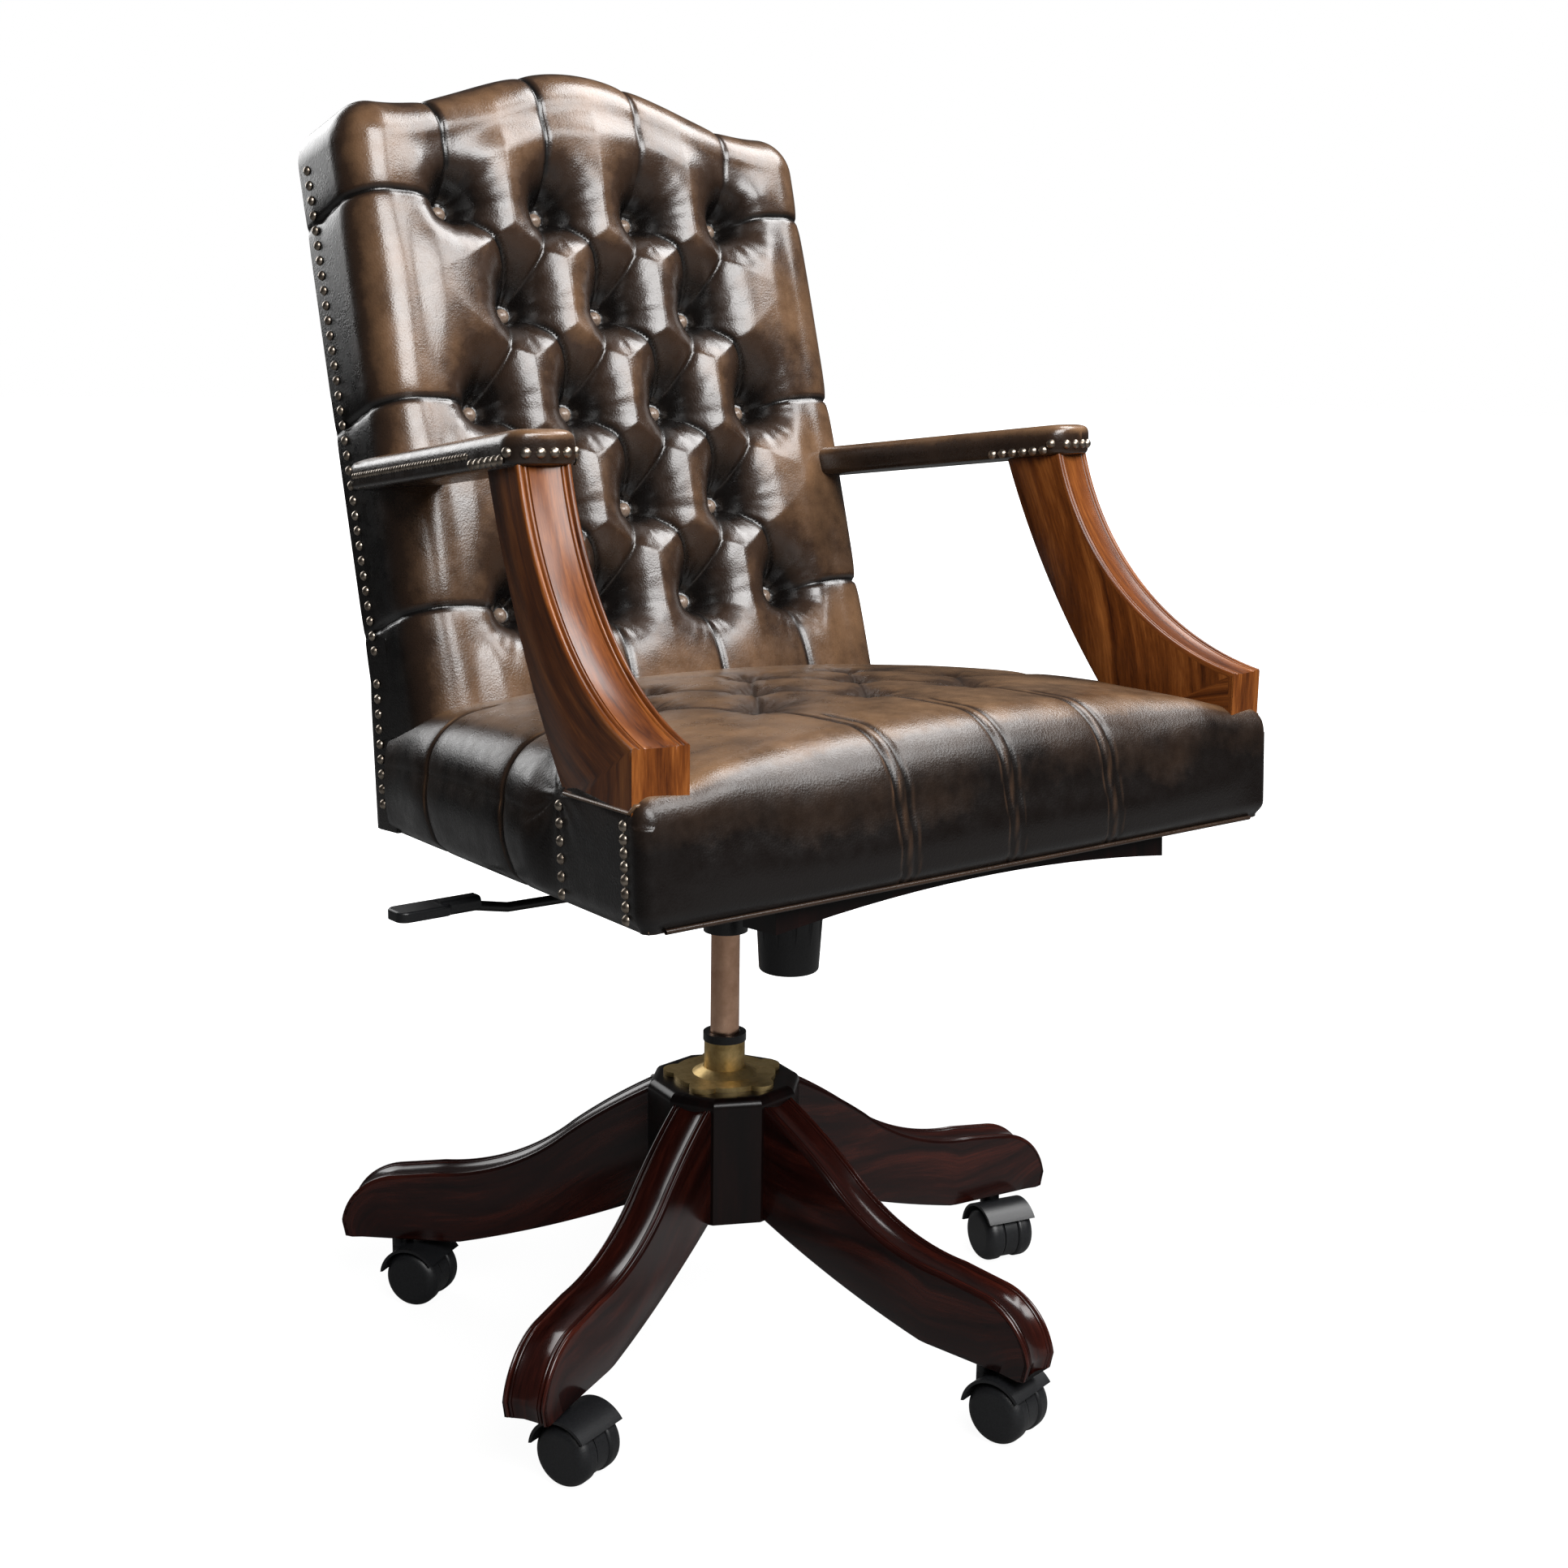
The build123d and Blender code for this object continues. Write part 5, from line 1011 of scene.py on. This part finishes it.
def pad_trim():
    """The nails round each pad's nose, and the close row of small beads along its outer side."""
    half = ARM_THICKNESS / 2 + PAD_OVERHANG
    for name, side in SIDES:
        to_space = arm_space(side)
        forward = Vector(to_space(0, 0, 0)) - Vector(to_space(1, 0, 0))
        outwards = Vector(to_space(0, 0, 1)) - Vector(to_space(0, 0, 0))
        nose = []
        for share in np.linspace(-0.93, 0.93, NOSE_NAILS):
            spot = to_space(nose_plan(share) + 0.0004, pad_line(PAD_NOSE, PAD_BOTTOM) + 0.0095, share * half)
            sideways = np.sign(share) * abs(share) ** (NOSE_POWER - 1) / half
            ahead = (1 - abs(share) ** NOSE_POWER) ** (1 - 1 / NOSE_POWER) / NOSE_LENGTH
            nose.append((spot, forward * ahead + outwards * sideways))
        domes(f"arm_nose_nails_{name}", nose, NAIL_RADIUS, NAIL_HEIGHT, nail_brass)
        beads = []
        for along in np.arange(BEAD_START, PAD_END - 0.004, BEAD_PITCH):
            beads.append((to_space(along, pad_line(along, PAD_BOTTOM) + 0.0125, half - 0.0006), outwards))
        domes(f"arm_trim_{name}", beads, BEAD_RADIUS, BEAD_HEIGHT, nail_brass)


def foot_welts():
    """A thin leather welt where the foot of each arm meets the seat."""
    for name, side in SIDES:
        to_space = arm_space(side)
        half = ARM_THICKNESS / 2
        path = [(along, half + 0.0006) for along in np.linspace(FOOT_LENGTH, 0.002, 30)]
        path += [(-0.0006, across) for across in np.linspace(half - 0.002, -half, 16)]
        spine = []
        for along, across in path:
            spot = Vector(to_space(along, 0, across))
            spot.z = frame_top(spot.y) + (0.001 if across > half else 0.006)
            spine.append(spot)
        tube(f"foot_welt_{name}", spine, 0.0014, seat_leather, 0.8)


def seat_piping():
    """A thin cord of leather along the seat's lower front edge."""
    y = -SEAT_FRONT + 0.0055
    half = seat_half(y) - 0.02
    spine = [SEAT @ Vector((x, y, SEAT_RISE + 0.0006)) for x in np.linspace(-half, half, 60)]
    tube("seat_piping", spine, 0.0018, seat_leather, 0.5)


# Mechanism: the spring inside the tension knob

def tension_coil():
    """The spring inside the knob: a steel wire coiled to fill the box of the frame's spring part."""
    low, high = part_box("tension_spring")
    middle = (low[0] + high[0]) / 2, (low[1] + high[1]) / 2
    length = high[2] - low[2]
    wire = SPRING_WIRE / 2
    radius = (high[0] - low[0]) / 2 - wire
    spine = []
    for share in np.linspace(0, 1, SPRING_TURNS * 24 + 1):
        angle = 2 * pi * SPRING_TURNS * share
        height = low[2] + wire + (length - SPRING_WIRE) * share
        spine.append(Vector((middle[0] + radius * cos(angle), middle[1] + radius * sin(angle), height)))
    piece = tube("tension_coil", spine, wire, steel, 0, body="chassis")
    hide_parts("tension_spring")
    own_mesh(piece)


# Solids carried over from the frame get their materials

def dress_nodes():
    looks = {
        "base_hub": hub_wood, "leg_dowels": frame_wood, "caster_sockets": steel, "flange_plate": brass,
        "flange_screws": brass, "column_sleeve": brass, "guide_bush": black_plastic, "thrust_bearing": steel,
        "piston_rod": steel, "pressure_tube": copper, "release_button": steel, "mech_housing": black_metal,
        "tilt_shaft": steel, "mech_seat_plate": black_metal, "plate_bolts": steel, "tension_bolt": steel,
        "tension_knob": black_plastic, "lever_rod": black_metal, "lever_handle": black_plastic,
        "seat_battens": hub_wood, "dust_cover": black_cloth, "seat_frame": frame_wood,
        "seat_webbing": black_cloth, "back_frame": frame_wood,
        "arm_rails": frame_wood, "back_buttons": button_leather, "upholstery_nails": nail_brass,
    }
    for index in range(1, LEG_COUNT + 1):
        looks[f"caster_hood_{index}"] = black_plastic
        looks[f"caster_pins_{index}"] = steel
        looks[f"caster_wheel_left_{index}"] = black_plastic
        looks[f"caster_wheel_right_{index}"] = black_plastic
    for name, material in looks.items():
        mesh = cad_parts[name].data
        mesh.materials.clear()
        mesh.materials.append(material)


# Stage

def show_to_camera(tree, share, plain, seen, output):
    """The camera sees one shader, by a share, and all other rays meet the plain one."""
    mix = node(tree, "ShaderNodeMixShader")
    for socket, source in zip(mix.inputs, (share, plain, seen)):
        tree.links.new(source, socket)
    tree.links.new(mix.outputs["Shader"], tree.nodes[output].inputs["Surface"])


def stage():
    floor_mesh = bpy.data.meshes.new("floor")
    ends = (-FLOOR_HALF, FLOOR_HALF)
    corners = [(x, y, 0) for x in ends for y in ends]
    floor_mesh.from_pydata(corners, [], [(0, 2, 3, 1)])
    material, tree, skin = shader("floor_paint", 0.9)
    skin.inputs["Base Color"].default_value = (0.14, 0.14, 0.14, 1)
    glow = node(tree, "ShaderNodeEmission")
    glow.inputs["Color"].default_value = (1, 1, 1, 1)
    glow.inputs["Strength"].default_value = FLOOR_GLOW
    path = node(tree, "ShaderNodeLightPath")
    away = node(tree, "ShaderNodeVectorMath", operation="LENGTH")
    tree.links.new(node(tree, "ShaderNodeTexCoord").outputs["Object"], away.inputs[0])
    fade = remap(tree, away.outputs["Value"], (0.5, 1.3), (0.5, 1.0))
    seen = maths(tree, "MULTIPLY", path.outputs["Is Camera Ray"], fade)
    show_to_camera(tree, seen, skin.outputs["BSDF"], glow.outputs["Emission"], "Material Output")
    floor_mesh.materials.append(material)
    floor = bpy.data.objects.new("floor", floor_mesh)
    bpy.context.scene.collection.objects.link(floor)

    world = bpy.data.worlds.new("studio")
    bpy.context.scene.world = world
    world.use_nodes = True
    tree = world.node_tree
    soft = tree.nodes["Background"]
    soft.inputs["Color"].default_value = (1, 1, 1, 1)
    soft.inputs["Strength"].default_value = AMBIENT
    white = node(tree, "ShaderNodeBackground")
    white.inputs["Color"].default_value = (1, 1, 1, 1)
    seen = node(tree, "ShaderNodeLightPath").outputs["Is Camera Ray"]
    show_to_camera(tree, seen, soft.outputs["Background"], white.outputs["Background"], "World Output")


def lamp(name, spot, target, size, power):
    light = bpy.data.lights.new(name, "AREA")
    light.shape = "RECTANGLE"
    light.size = size[0]
    light.size_y = size[1]
    light.energy = power
    holder = bpy.data.objects.new(name, light)
    holder.location = spot
    holder.rotation_euler = (Vector(target) - Vector(spot)).to_track_quat("-Z", "Y").to_euler()
    bpy.context.scene.collection.objects.link(holder)


def camera():
    """The photograph's viewpoint, found by fitting a camera to points of the chair."""
    turn, rise, roll = radians(-39.327), radians(11.54), radians(0.873)
    back = Vector((sin(turn) * cos(rise), -cos(turn) * cos(rise), sin(rise)))
    right = Vector((cos(turn), sin(turn), 0))
    up = back.cross(right)
    tilted_right = right * cos(roll) + up * sin(roll)
    tilted_up = up * cos(roll) - right * sin(roll)
    lens = bpy.data.cameras.new("camera")
    lens.sensor_fit = "HORIZONTAL"
    lens.sensor_width = SENSOR
    lens.lens = SENSOR * FOCAL_PIXELS / PHOTO_PIXELS
    holder = bpy.data.objects.new("camera", lens)
    axes = Matrix((tilted_right, tilted_up, back)).transposed().to_4x4()
    axes.translation = CAMERA_PLACE
    holder.matrix_world = axes
    bpy.context.scene.collection.objects.link(holder)
    bpy.context.scene.camera = holder


camera()
dress_nodes()
back_cushion()
outside_back()
back_flaps()
seat_cushion()
seat_piping()
tension_coil()
legs()
arm_posts()
arm_pads()
pad_trim()
foot_welts()
stage()
lamp("key", (-0.5, -2.1, 2.3), (0, 0, 0.75), (2.0, 1.5), 122)
lamp("window", (1.3, -1.6, 2.5), (0, 0, 0.85), (1.2, 1.0), 36)
lamp("top", (1.3, -0.2, 2.5), (0, 0, 0.6), (1.2, 1.2), 48)
lamp("rear", (-0.35, 2.2, 1.5), (0, 0, 0.65), (1.6, 1.2), 22)
bpy.context.scene.view_settings.view_transform = "Standard"
